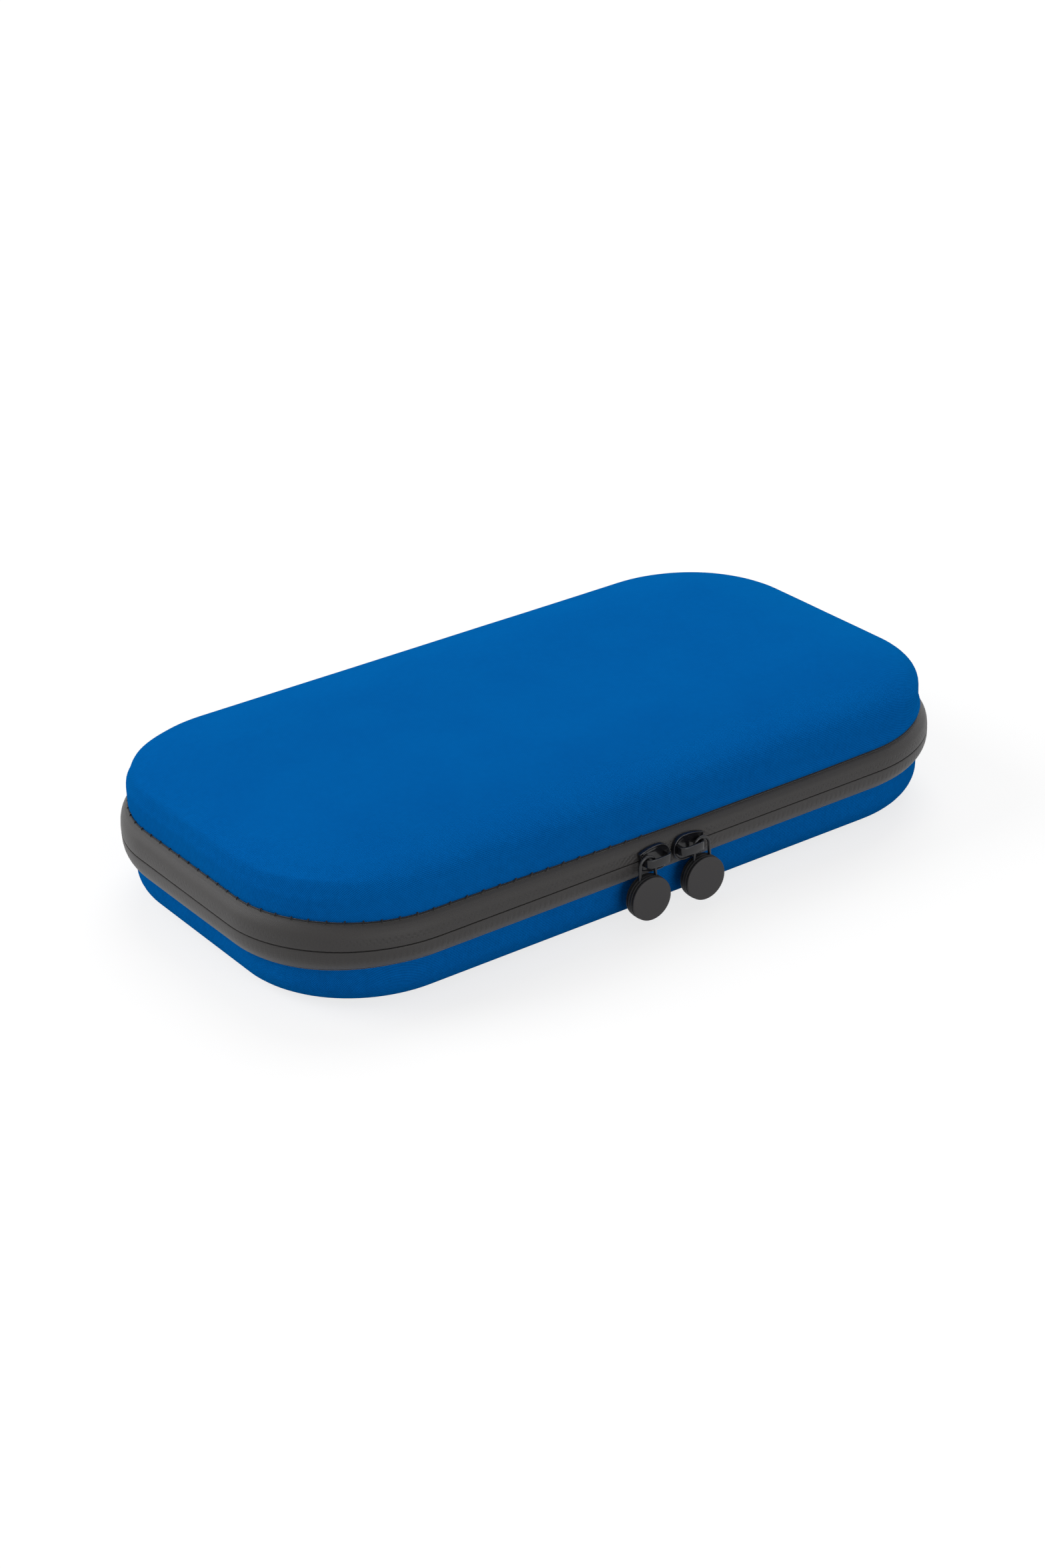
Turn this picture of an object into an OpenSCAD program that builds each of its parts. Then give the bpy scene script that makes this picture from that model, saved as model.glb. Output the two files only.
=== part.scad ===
// Zipped hard case for a stethoscope: two moulded shells hinged along the back,
// closed by a zip with two sliders that meet in the middle of the front.
// Millimetres. X runs left to right, the front faces -Y, +Z is up.
// The origin is the middle of the flat underside.

/* [Case] */
// Overall length, measured over the zip band
case_l = 280; // [240:1:320]
// Overall width, measured over the zip band
case_w = 158; // [130:1:190]
// Height of the base, from the resting face up to the zip line
base_h = 24; // [20:0.5:40]
// Height of the lid above the zip line
lid_h = 30; // [26:0.5:50]
// Corner radius seen from above
corner_r = 49.5; // [40:0.5:60]

/* [Moulded shape] */
// How far the lid's wall lies inside the zip band's crest
lid_inset = 3.2; // [2.4:0.1:4]
// How far the base's wall lies inside the zip band's crest
base_inset = 4; // [3:0.1:5]
// Height of the lid's rounded shoulder
shoulder_h = 8.8; // [6:0.1:10]
// Width of the lid's rounded shoulder
shoulder_w = 11.8; // [9:0.1:15]
// Rise of the roof from the shoulder to the middle
crown_h = 4.8; // [2:0.1:6]
// Width of the base's rounded bottom edge
heel_w = 12.8; // [10:0.1:16]
// Height of the base's rounded bottom edge
heel_h = 10.3; // [8:0.1:13]

/* [Layers] */
// Thickness of the woven cover
cover_t = 0.6; // [0.4:0.1:0.9]
// Thickness of the foam shell
shell_t = 3.5; // [2.5:0.1:4]
// Thickness of the knitted lining
lining_t = 0.7; // [0.5:0.1:1]

/* [Zip] */
// Width of the lid's zip tape, from the zip line to its sewn edge
lid_tape_w = 8; // [7.5:0.1:11]
// Width of the base's zip tape, from the zip line to its sewn edge
base_tape_w = 7.9; // [7.5:0.1:11]
// Thickness of the coated zip tape
tape_t = 0.9; // [0.6:0.1:1.2]
// Gap between the two tapes at the zip line
zip_gap = 1; // [0.8:0.05:1.4]
// Height of one row of the zip's coil
coil_h = 2.1; // [1.8:0.1:2.4]
// Thickness of the zip's coil
coil_t = 1.7; // [1.4:0.1:1.8]
// Distance from the zip line to the shells' rims
rim_gap = 4.2; // [3.9:0.1:5]
// Thickness of the edge binding
binding_t = 0.8; // [0.5:0.1:0.8]
// Width of the edge binding inside the case
binding_w = 7.8; // [6:0.1:9]
// Height of the over-edge sewing along each seam
thread_h = 0.5; // [0.3:0.1:0.8]
// Length of the fabric hinge along the back
hinge_l = 176; // [140:1:180]

/* [Sliders] */
// Length of a slider
slider_l = 12.6; // [11:0.1:14]
// Height of a slider's front plate
slider_h = 9.2; // [8:0.1:10]
// Thickness of a slider's front plate
plate_t = 1.4; // [1.2:0.1:1.8]
// Gap between the noses of the two sliders, closed
nose_gap = 1.2; // [0.8:0.1:4]
// Length of the arch on a slider
bail_l = 10.2; // [9:0.1:10.6]
// Width of the arch's band
bail_w = 3; // [2.4:0.1:3.2]
// Thickness of the arch's band
bail_t = 1.1; // [0.9:0.1:1.4]
// Thickness of the arch's feet
bail_foot = 1.5; // [1.2:0.1:1.8]
// Clear gap under the arch
bail_gap = 2.4; // [2:0.1:3]

/* [Pulls] */
// Diameter of the wire loop's wire
wire_d = 1.15; // [1:0.05:1.2]
// Distance between the wire loop's two legs
leg_pitch = 6.2; // [6:0.1:7]
// Distance from the loop's bend to the middle of the disc
pull_drop = 11.6; // [11:0.1:12.5]
// Diameter of the pull's disc
disc_d = 15.8; // [14:0.1:17]
// Thickness of the pull's disc
disc_t = 4.6; // [4:0.1:4.6]

/* [Inside] */
// Height of the net pocket above the zip line
pocket_z = 12; // [12:0.1:14]
// Thickness of the net
net_t = 0.6; // [0.4:0.1:1]
// Width of the pocket's elastic hem
hem_w = 8; // [6:0.5:12]
// Thickness of the pocket's elastic hem
hem_t = 1.8; // [1.4:0.1:2.4]
// Distance from the case's middle forward to the pocket's hem
hem_y = 16; // [0:1:20]
// Width of the retaining strap
strap_w = 25; // [16:1:40]
// Thickness of the retaining strap
strap_t = 1.2; // [0.8:0.1:2]
// Length of the strap's back part
strap_back_l = 78; // [60:1:90]
// Length of the strap's front part
strap_front_l = 76; // [60:1:90]
// Length of the hook and loop patches
patch_l = 32; // [20:1:40]
// Thickness of each hook or loop patch
patch_t = 1; // [0.8:0.1:1.5]

/* [Hidden] */
$fn = 48;

// Straight runs between the corners, and the hinge that keeps to the back one
run_x = case_l / 2 - corner_r;
run_y = case_w / 2 - corner_r;
hinge_clear = 0.3;
hinge_end = min(hinge_l / 2, run_x - 2 * hinge_clear);

// Depth of each layer's inner face, and the floor inside the case
lining_depth = cover_t + shell_t;
inner_depth = lining_depth + lining_t;
floor_z = inner_depth;

// Small clearances that keep pieces free of each other
plate_clear = 0.3;
wire_clear = 0.1;
coil_clear = 0.05;
back_clear = 0.4;
hem_clear = 0.05;

// Where the zip tape lies flat on the wall, and how it leaves it
seam_land = 1.3;
seam_ease = 0.6;
thread_ease = 0.25;

// The straps keep off the bottom's rounding and the patches off the straps' edges
strap_margin = 1.2;
patch_margin = 1;
fold_gap = 1;
fold_slope = 3;

// How far the net's edge is sewn into the hem
hem_tuck = 2;

// Facets of the curved profiles
shoulder_steps = 8;
roof_steps = 4;
heel_steps = 8;
tape_steps = 6;

// Profiles are lists of [distance inside the crest, height from the zip line].
// The lid's shoulder is a parabola from the wall to the roof, which then rises
// along a second parabola and is level over the middle of the case.
roof_run = corner_r - lid_inset - shoulder_w;
roof_slope = 2 * crown_h / roof_run;
slope_len = sqrt(1 + roof_slope * roof_slope);

function bezier(a, b, c, t) = a * (1 - t) * (1 - t) + 2 * b * t * (1 - t) + c * t * t;

// Where the shoulder meets the roof, on the surface at the given depth
function shoulder_end(depth) = [
    lid_inset + shoulder_w + depth * roof_slope / slope_len,
    lid_h - crown_h - depth / slope_len];

function lid_skin(depth) =
    let (wall = lid_inset + depth,
         end = shoulder_end(depth),
         start = [wall, lid_h - crown_h - shoulder_h - depth / 2],
         knee = [wall, end[1] - roof_slope * (end[0] - wall)],
         run = corner_r - end[0],
         rise = lid_h - depth - end[1])
    concat([[wall, rim_gap]],
        [for (i = [0:shoulder_steps]) bezier(start, knee, end, i / shoulder_steps)],
        [for (i = [1:roof_steps])
            let (left = 1 - i / roof_steps)
            [end[0] + run * (1 - left), end[1] + rise * (1 - left * left)]]);

function base_skin(depth) =
    let (wall = base_inset + depth, w = heel_w - depth, h = heel_h - depth)
    concat([[wall, -rim_gap]],
        [for (i = [0:heel_steps]) let (a = 90 * i / heel_steps)
            [wall + w * (1 - cos(a)), -base_h + heel_h - h * sin(a)]],
        [[corner_r, -base_h + depth]]);

function reversed(list) = [for (i = [len(list) - 1:-1:0]) list[i]];
function lid_layer(outer, inner) = concat(lid_skin(outer), reversed(lid_skin(inner)));
function base_layer(outer, inner) = concat(base_skin(outer), reversed(base_skin(inner)));

// Half of the zip band: it bulges from its sewn edge out to the zip line, where
// side is 1 for the lid and -1 for the base
function bulge(edge, width, z) = edge * pow(z / width, 3);
function tape_half(wall, width, side) =
    let (edge = wall - tape_t, land = width - seam_land, start = zip_gap / 2,
         zs = [for (i = [0:tape_steps]) start + (width - start) * i / tape_steps],
         rise = (land - seam_ease - start) / (tape_steps - 1),
         back = [for (i = [0:tape_steps - 1]) start + rise * i])
    concat([for (z = zs) [bulge(edge, width, z), side * z]],
        [[wall, side * width], [wall, side * land]],
        reversed([for (z = back) [bulge(edge, width, z) + tape_t, side * z]]));

// One row of the zip's coil, close behind its tape
function coil_half(wall, width, side) =
    let (near = zip_gap / 2 + coil_clear, far = near + coil_h,
         front = bulge(wall - tape_t, width, far) + tape_t + coil_clear)
    [[front, side * near], [front + coil_t, side * near],
     [front + coil_t, side * far], [front, side * far]];

// The binding folds over the rim and lies on the lining
function binding_half(wall, side) =
    let (inner = wall + inner_depth, edge = rim_gap - binding_t)
    [[wall, side * edge], [inner + binding_t, side * edge],
     [inner + binding_t, side * (rim_gap + binding_w)], [inner, side * (rim_gap + binding_w)],
     [inner, side * rim_gap], [wall, side * rim_gap]];

// Sewing thread over the tape's edge
function thread_half(wall, width, side) =
    let (top = width + thread_h, front = wall - tape_t)
    [[front, side * width], [wall, side * width], [wall, side * top], [front + thread_ease, side * top]];

// One straight side of a band: the profile drawn outwards at the given angle
module side_run(profile, angle, reach, from, to)
    rotate([0, 0, angle]) translate([reach, (from + to) / 2, 0]) rotate([90, 0, 0])
        linear_extrude(to - from, center = true)
            polygon([for (p = profile) [corner_r - p[0], p[1]]]);

// One corner of a band, for the corner on the given side of each axis
module corner(profile, sx, sy)
    translate([sx * run_x, sy * run_y, 0])
        rotate([0, 0, sx > 0 ? (sy > 0 ? 0 : 270) : (sy > 0 ? 90 : 180)])
            rotate_extrude(angle = 90)
                polygon([for (p = profile) [corner_r - p[0], p[1]]]);

// A profile carried round the case at the zip line's height, either closed or
// with an opening in the back side for the hinge
module band(profile, closed = true) translate([0, 0, base_h]) {
    for (sx = [-1, 1], sy = [-1, 1]) corner(profile, sx, sy);
    side_run(profile, 0, run_x, -run_y, run_y);
    side_run(profile, 180, run_x, -run_y, run_y);
    side_run(profile, 270, run_y, -run_x, run_x);
    if (closed) side_run(profile, 90, run_y, -run_x, run_x);
    else for (s = [-1, 1])
        side_run(profile, 90, run_y, s > 0 ? hinge_end + hinge_clear : -run_x,
            s > 0 ? run_x : -hinge_end - hinge_clear);
}

// The flat middle that closes a lid or base layer between its corner arcs
module middle(low, high) translate([-run_x, -run_y, low]) cube([2 * run_x, 2 * run_y, high - low]);

module lid_piece(outer, inner) {
    band(lid_layer(outer, inner));
    middle(base_h + lid_h - inner, base_h + lid_h - outer);
}

module base_piece(outer, inner) {
    band(base_layer(outer, inner));
    middle(outer, inner);
}

module base_cover() color([0.02, 0.31, 0.55]) base_piece(0, cover_t);

module base_shell() color([0.16, 0.16, 0.17]) base_piece(cover_t, lining_depth);

module base_lining() color([0.08, 0.08, 0.09]) base_piece(lining_depth, inner_depth);

module lid_cover() color([0.01, 0.35, 0.63]) lid_piece(0, cover_t);

module lid_shell() color([0.16, 0.16, 0.17]) lid_piece(cover_t, lining_depth);

module lid_lining() color([0.08, 0.08, 0.09]) lid_piece(lining_depth, inner_depth);

module base_zip_tape() color([0.27, 0.26, 0.26])
    band(tape_half(base_inset, base_tape_w, -1), closed = false);

module lid_zip_tape() color([0.27, 0.26, 0.26])
    band(tape_half(lid_inset, lid_tape_w, 1), closed = false);

module base_zip_coil() color([0.1, 0.1, 0.1]) band(coil_half(base_inset, base_tape_w, -1), closed = false);

module lid_zip_coil() color([0.1, 0.1, 0.1]) band(coil_half(lid_inset, lid_tape_w, 1), closed = false);

module base_binding() color([0.13, 0.13, 0.13]) band(binding_half(base_inset, -1));

module lid_binding() color([0.13, 0.13, 0.13]) band(binding_half(lid_inset, 1));

module base_seam_thread() color([0.05, 0.05, 0.05]) band(thread_half(base_inset, base_tape_w, -1));

module lid_seam_thread() color([0.05, 0.05, 0.05]) band(thread_half(lid_inset, lid_tape_w, 1));

// One strip spans both shells at the back, and bends along the zip line
module hinge_strip() {
    lid_side = tape_half(lid_inset, lid_tape_w, 1);
    base_side = tape_half(base_inset, base_tape_w, -1);
    color([0.25, 0.24, 0.24]) translate([0, 0, base_h])
        side_run(concat(reversed(base_side), lid_side), 90, run_y, -hinge_end, hinge_end);
}

// Each half of the strap is sewn down at the edge of the flat floor, and each
// patch lies at the free end of its half
flat_y = case_w / 2 - base_inset - heel_w - strap_margin;
back_end = flat_y - strap_back_l;
front_end = strap_front_l - flat_y;
lap_z = floor_z + strap_t + 2 * patch_t;

module strap_profile(points) rotate([90, 0, 90]) linear_extrude(strap_w, center = true) polygon(points);

module strap_front() color([0.12, 0.12, 0.13])
    strap_profile([[-flat_y, floor_z], [front_end, floor_z],
        [front_end, floor_z + strap_t], [-flat_y, floor_z + strap_t]]);

// The back half steps down to the floor behind the patches
module strap_back() {
    fold = max(front_end, back_end + patch_l) + fold_gap;
    foot = fold + fold_slope * (lap_z - floor_z);
    shift = strap_t / fold_slope;
    color([0.12, 0.12, 0.13])
        strap_profile([[flat_y, floor_z], [foot, floor_z], [fold, lap_z], [back_end, lap_z],
            [back_end, lap_z + strap_t], [fold + shift, lap_z + strap_t],
            [foot + shift, floor_z + strap_t], [flat_y, floor_z + strap_t]]);
}

module patch(start, low) translate([patch_margin - strap_w / 2, start, low])
    cube([strap_w - 2 * patch_margin, patch_l, patch_t]);

module strap_loop_patch() color([0.15, 0.15, 0.15]) patch(front_end - patch_l, floor_z + strap_t);

module strap_hook_patch() color([0.1, 0.1, 0.1]) patch(back_end, floor_z + strap_t + patch_t);

// Outline of the lid's inside at the pocket's height
module lid_outline() {
    inset = lid_inset + inner_depth;
    square([2 * run_x, case_w - 2 * inset], center = true);
    square([case_l - 2 * inset, 2 * run_y], center = true);
    for (sx = [-1, 1], sy = [-1, 1])
        translate([sx * run_x, sy * run_y]) circle(corner_r - inset);
}

// The pocket lies above the binding, or higher where the pocket's height asks for it
net_z = base_h + max(pocket_z, rim_gap + binding_w + (hem_t - net_t) / 2 + hem_clear);

module net_pocket() color([0.2, 0.2, 0.2])
    translate([0, 0, net_z]) linear_extrude(net_t) intersection() {
        lid_outline();
        translate([-case_l / 2, hem_tuck - hem_y - hem_w]) square([case_l, case_w]);
    }

module pocket_hem() {
    reach = case_l - 2 * (lid_inset + inner_depth);
    color([0.1, 0.1, 0.1]) difference() {
        translate([-reach / 2, -hem_y - hem_w, net_z + net_t / 2 - hem_t / 2])
            cube([reach, hem_w, hem_t]);
        translate([-reach, -hem_y - hem_w + hem_tuck, net_z]) cube([2 * reach, 2 * hem_w, net_t]);
    }
}

// The sliders are drawn in a frame of their own: x from the nose to the tail,
// y outwards from the band's crest, z up from the zip line
arch_face = plate_clear + plate_t;
dish_depth = plate_t * 0.55;
web_t = 0.5;
back_t = 1;
back_gap = 0.8;
arch_tail = slider_l / 2 + bail_l / 2;
loop_x = arch_tail - bail_foot / 2;
loop_r = leg_pitch / 2;
loop_inner_r = loop_r - wire_d / 2;
loop_z = bail_w / 2 + wire_clear - sqrt(loop_inner_r * loop_inner_r - bail_foot * bail_foot / 4);
wire_y = arch_face + bail_gap / 2;
disc_z = loop_z - pull_drop;

// Moves a piece from the sliders' frame to the front of the case; side is -1
// for the left slider and 1 for the right one
module place(side) translate([0, -case_w / 2, base_h]) mirror([side < 0 ? 1 : 0, 0, 0])
    mirror([0, 1, 0]) translate([nose_gap / 2, 0, 0]) children();

// Shield outline: a round nose, two hollow flanks and a notched tail
module shield() {
    nose_r = slider_h / 2;
    tail_h = slider_h * 0.68;
    waist_x = slider_l * 0.72;
    waist_h = slider_h * 0.78;
    flank_r = slider_l * 1.1;
    notch_r = slider_h * 0.28;
    notch_depth = slider_h * 0.04;
    difference() {
        union() {
            translate([nose_r, 0]) circle(nose_r);
            polygon([[nose_r, nose_r], [slider_l, tail_h / 2],
                [slider_l, -tail_h / 2], [nose_r, -nose_r]]);
        }
        for (s = [-1, 1]) translate([waist_x, s * (waist_h / 2 + flank_r)]) circle(flank_r, $fn = 96);
        translate([slider_l + notch_r - notch_depth, 0]) circle(notch_r);
    }
}

// The arch seen from above: a rounded bar on two feet
module arch_shape(length, height, r) {
    translate([0, -0.01]) square([length, height - r + 0.01]);
    translate([r, height - r]) square([length - 2 * r, r]);
    for (x = [r, length - r]) translate([x, height - r]) circle(r);
}

// Front plate with its dished face
module slider_plate() {
    dish_r = slider_l * 1.3;
    dish_x = slider_l * 0.47;
    difference() {
        translate([0, arch_face, 0]) rotate([90, 0, 0]) linear_extrude(plate_t) shield();
        translate([dish_x, arch_face + dish_r - dish_depth, 0]) sphere(dish_r, $fn = 96);
    }
}

// Arch that the wire loop hangs on, rooted in the dish
module slider_arch() {
    arch_r = (bail_gap + bail_t) * 0.6;
    window_r = bail_gap * 0.35;
    window_y = arch_face - 2 * dish_depth;
    translate([(slider_l - bail_l) / 2, 0, -bail_w / 2]) linear_extrude(bail_w) difference() {
        translate([0, arch_face - dish_depth])
            arch_shape(bail_l, bail_gap + bail_t + dish_depth, arch_r);
        translate([bail_foot, window_y])
            arch_shape(bail_l - 2 * bail_foot, arch_face + bail_gap - window_y, window_r);
    }
}

// Neck that parts the two tapes, and the plate behind them
module slider_back() {
    neck_x = slider_l * 0.12;
    neck_l = slider_l * 0.3;
    back_h = rim_gap - binding_t - back_clear;
    back_y = tape_t + coil_t + back_gap;
    translate([neck_x, -back_y - back_t / 2, -web_t / 2])
        cube([neck_l, back_y + back_t / 2 + plate_clear + plate_t / 4, web_t]);
    translate([0, -back_y, 0]) rotate([90, 0, 0]) linear_extrude(back_t) {
        translate([back_h, 0]) circle(back_h);
        translate([back_h, -back_h]) square([slider_l - back_h, 2 * back_h]);
    }
}

module slider() {
    slider_plate();
    slider_arch();
    slider_back();
}

// The wire's two legs end in flattened heads that hold them in the disc
module wire_legs() {
    low = disc_z + disc_d * 0.05;
    head_d = wire_d * 1.6;
    for (s = [-1, 1]) translate([loop_x + s * loop_r, wire_y, low]) rotate([0, 0, 45]) {
        cylinder(d = wire_d, h = loop_z - low);
        cylinder(d = head_d, h = wire_d);
    }
}

// The wire runs down one side, over the arch's foot and back down
module wire_loop() {
    translate([loop_x, wire_y, loop_z]) rotate([90, 0, 0]) rotate_extrude(angle = 180)
        translate([loop_r, 0]) circle(wire_d / 2);
    wire_legs();
}

// Half of the disc, from its parting face to its outer face: a bead beside the
// parting line, a groove and a face plate with an eased edge
module disc_half() {
    half = disc_t / 2;
    rim = disc_d / 2;
    groove = 0.5;
    bead = half * 0.42;
    plate_low = bead + groove * 1.2;
    plate_rim = rim - 0.14;
    ease = 0.35;
    rotate_extrude($fn = 96) polygon([[0, 0], [rim - groove, 0], [rim, groove], [rim, bead],
        [rim - groove, (bead + plate_low) / 2], [plate_rim, plate_low], [plate_rim, half - ease],
        [plate_rim - ease, half], [0, half]]);
}

module disc(out) difference() {
    translate([loop_x, wire_y, disc_z]) rotate([out > 0 ? -90 : 90, 0, 0]) disc_half();
    wire_legs();
}

module slider_piece(side) color([0.07, 0.07, 0.07]) place(side) slider();

module wire_piece(side) color([0.1, 0.1, 0.1]) place(side) wire_loop();

module disc_piece(side, out) color([0.25, 0.24, 0.24]) place(side) disc(out);

module left_slider() slider_piece(-1);
module left_wire_loop() wire_piece(-1);
module left_disc_back() disc_piece(-1, -1);
module left_disc_front() disc_piece(-1, 1);
module right_slider() slider_piece(1);
module right_wire_loop() wire_piece(1);
module right_disc_back() disc_piece(1, -1);
module right_disc_front() disc_piece(1, 1);

base_cover();
base_shell();
base_lining();
base_zip_tape();
base_zip_coil();
base_binding();
base_seam_thread();
hinge_strip();
strap_back();
strap_front();
strap_hook_patch();
strap_loop_patch();
lid_cover();
lid_shell();
lid_lining();
lid_zip_tape();
lid_zip_coil();
lid_binding();
lid_seam_thread();
net_pocket();
pocket_hem();
left_slider();
left_wire_loop();
left_disc_back();
left_disc_front();
right_slider();
right_wire_loop();
right_disc_back();
right_disc_front();
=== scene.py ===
"""Looks of a zipped hard case: cloth over moulded foam, a coated zip band, sliders and pulls.

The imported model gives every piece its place. The operators below dress it piece by piece.
"""

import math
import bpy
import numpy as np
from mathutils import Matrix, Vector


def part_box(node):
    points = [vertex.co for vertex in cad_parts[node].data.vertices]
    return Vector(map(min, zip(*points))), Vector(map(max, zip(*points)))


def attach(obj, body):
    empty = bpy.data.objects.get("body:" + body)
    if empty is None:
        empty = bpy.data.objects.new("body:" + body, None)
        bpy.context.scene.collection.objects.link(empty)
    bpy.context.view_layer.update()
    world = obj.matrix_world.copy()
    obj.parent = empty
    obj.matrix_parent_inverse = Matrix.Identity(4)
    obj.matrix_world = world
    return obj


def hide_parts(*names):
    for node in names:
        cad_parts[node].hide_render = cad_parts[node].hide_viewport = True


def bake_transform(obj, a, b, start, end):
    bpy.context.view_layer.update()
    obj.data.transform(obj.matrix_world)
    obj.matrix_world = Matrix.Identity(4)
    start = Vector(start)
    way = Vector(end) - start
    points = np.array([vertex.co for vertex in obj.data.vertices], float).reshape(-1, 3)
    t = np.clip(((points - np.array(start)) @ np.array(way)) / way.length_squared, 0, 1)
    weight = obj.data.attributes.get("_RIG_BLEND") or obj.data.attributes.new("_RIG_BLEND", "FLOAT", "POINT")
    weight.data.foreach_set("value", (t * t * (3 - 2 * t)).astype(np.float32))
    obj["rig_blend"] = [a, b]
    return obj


bl_info = {
    "name": "Zipped hard case",
    "version": (1, 0, 0),
    "blender": (4, 5, 0),
    "location": "View3D > Sidebar > Hard Case",
    "description": "Dresses a moulded, zipped hard case with cloth, tape, coil, sliders and pulls",
    "category": "Object",
}

import bmesh
import bpy
from bpy.props import FloatProperty, FloatVectorProperty, IntProperty, PointerProperty
from bpy.types import Operator, Panel, PropertyGroup
from mathutils import Matrix, Vector, noise

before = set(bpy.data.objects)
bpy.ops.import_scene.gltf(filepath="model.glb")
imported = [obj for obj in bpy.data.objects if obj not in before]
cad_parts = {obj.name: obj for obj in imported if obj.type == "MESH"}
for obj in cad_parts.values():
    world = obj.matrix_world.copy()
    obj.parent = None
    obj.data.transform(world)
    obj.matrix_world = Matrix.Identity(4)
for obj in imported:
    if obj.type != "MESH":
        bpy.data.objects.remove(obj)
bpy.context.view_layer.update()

MM = 0.001
TINY = 1e-6
SIDES = {"left": -1, "right": 1}
QUARTER = math.pi / 2
SHOULDER_STEPS = 12
ROOF_STEPS = 6

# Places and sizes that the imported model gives
LID_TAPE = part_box("lid_zip_tape")
BASE_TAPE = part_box("base_zip_tape")
LID_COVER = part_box("lid_cover")
BASE_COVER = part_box("base_cover")
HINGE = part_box("hinge_strip")
CASE_L = LID_TAPE[1].x - LID_TAPE[0].x
CASE_W = LID_TAPE[1].y - LID_TAPE[0].y
ZIP_Z = (LID_TAPE[0].z + BASE_TAPE[1].z) / 2
LID_H = LID_COVER[1].z - ZIP_Z
BASE_H = ZIP_Z - BASE_COVER[0].z
LID_INSET = LID_COVER[0].x - LID_TAPE[0].x
BASE_INSET = BASE_COVER[0].x - BASE_TAPE[0].x
LID_TAPE_W = LID_TAPE[1].z - ZIP_Z
BASE_TAPE_W = ZIP_Z - BASE_TAPE[0].z
RIM_GAP = LID_COVER[0].z - ZIP_Z
HINGE_HALF = HINGE[1].x
LINING_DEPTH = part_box("base_lining")[0].z
FLOOR_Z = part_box("strap_front")[0].z
HALVES = (("lid", LID_INSET, LID_TAPE_W, 1), ("base", BASE_INSET, BASE_TAPE_W, -1))


def measure(name, description, default, low, high):
    """A length in millimetres that the panel shows"""
    return FloatProperty(name=name, description=description, default=default * MM,
                         min=low * MM, max=high * MM, unit="LENGTH")


def bearing(name, description, default):
    """An angle, given in degrees, that the panel shows"""
    return FloatProperty(name=name, description=description, default=math.radians(default), subtype="ANGLE")


def tint(name, thing, default):
    """The linear colour of a thing"""
    return FloatVectorProperty(name=name, description=f"Colour of {thing}, linear",
                               default=default, min=0.0, max=1.0, subtype="COLOR")


class CaseShape(PropertyGroup):
    """Sizes of the case's visible surfaces"""

    corner_r: measure("Corner", "Corner radius of the zip band seen from above", 49.5, 30, 70)
    shoulder_h: measure("Shoulder height", "Height of the lid's rounded shoulder", 8.8, 4, 15)
    shoulder_w: measure("Shoulder width", "Width of the lid's rounded shoulder", 11.8, 5, 20)
    crown_h: measure("Crown", "Rise of the roof from the shoulder to the middle", 4.8, 0, 10)
    heel_w: measure("Heel width", "Width of the base's rounded bottom edge", 12.8, 5, 20)
    heel_h: measure("Heel height", "Height of the base's rounded bottom edge", 10.3, 5, 20)
    cover_t: measure("Cloth", "Thickness of the woven cover", 0.6, 0.2, 1)
    lining_t: measure("Lining", "Thickness of the knitted lining", 0.7, 0.2, 1)
    unevenness: measure("Unevenness", "How far the lid's cloth strays from its smooth form", 0.14, 0, 0.5)
    tape_t: measure("Zip tape", "Thickness of the coated zip tape", 0.9, 0.5, 1.5)
    lip_gap: measure("Zip line", "Gap between the closed tapes", 0.36, 0, 1)
    stitch_pitch: measure("Stitch pitch", "Distance between two over-edge stitches", 6.3, 3, 10)
    coil_pitch: measure("Coil pitch", "Distance between two turns of the zip's coil", 1.7, 1, 3)
    net_pitch: measure("Net pitch", "Width of one opening of the net", 3.2, 2, 6)
    corner_steps: IntProperty(
        name="Corner steps", description="Faces round each corner",
        default=24, min=8, max=48)


class CaseFinish(PropertyGroup):
    """Colours and finishes of the case"""

    cloth: tint("Cloth", "the woven cover", (0.001, 0.098, 0.36))
    tape: tint("Tape", "the coated zip tape", (0.0350, 0.0326, 0.0318))
    rubber: tint("Pulls", "the round pulls", (0.0365, 0.0346, 0.0354))
    metal: tint("Metal", "the painted sliders", (0.007, 0.007, 0.009))
    black_cloth: tint("Black cloth", "lining, binding, webbing and elastic", (0.020, 0.020, 0.022))
    thread: tint("Thread", "the sewing thread", (0.006, 0.006, 0.007))
    weave_pitch: measure("Weave", "Distance between two threads of the cover", 0.58, 0.2, 2)


class CaseStage(PropertyGroup):
    """Light and camera"""

    sky: FloatProperty(
        name="Sky", description="Strength of the even light from all round",
        default=0.41, min=0.0, max=2.0)
    lamps: FloatProperty(
        name="Lamps", description="Strength of the three wide soft lamps",
        default=1.0, min=0.0, max=10.0)
    azimuth: bearing("Azimuth", "Where the camera stands, from the front", -33.711)
    elevation: bearing("Elevation", "Height of the camera as an angle", 26.448)
    roll: bearing("Roll", "Turn of the camera about its own axis", -2.811)
    distance: FloatProperty(
        name="Distance", description="Camera to the middle of the picture",
        default=1112.164 * MM, unit="LENGTH")


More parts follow.
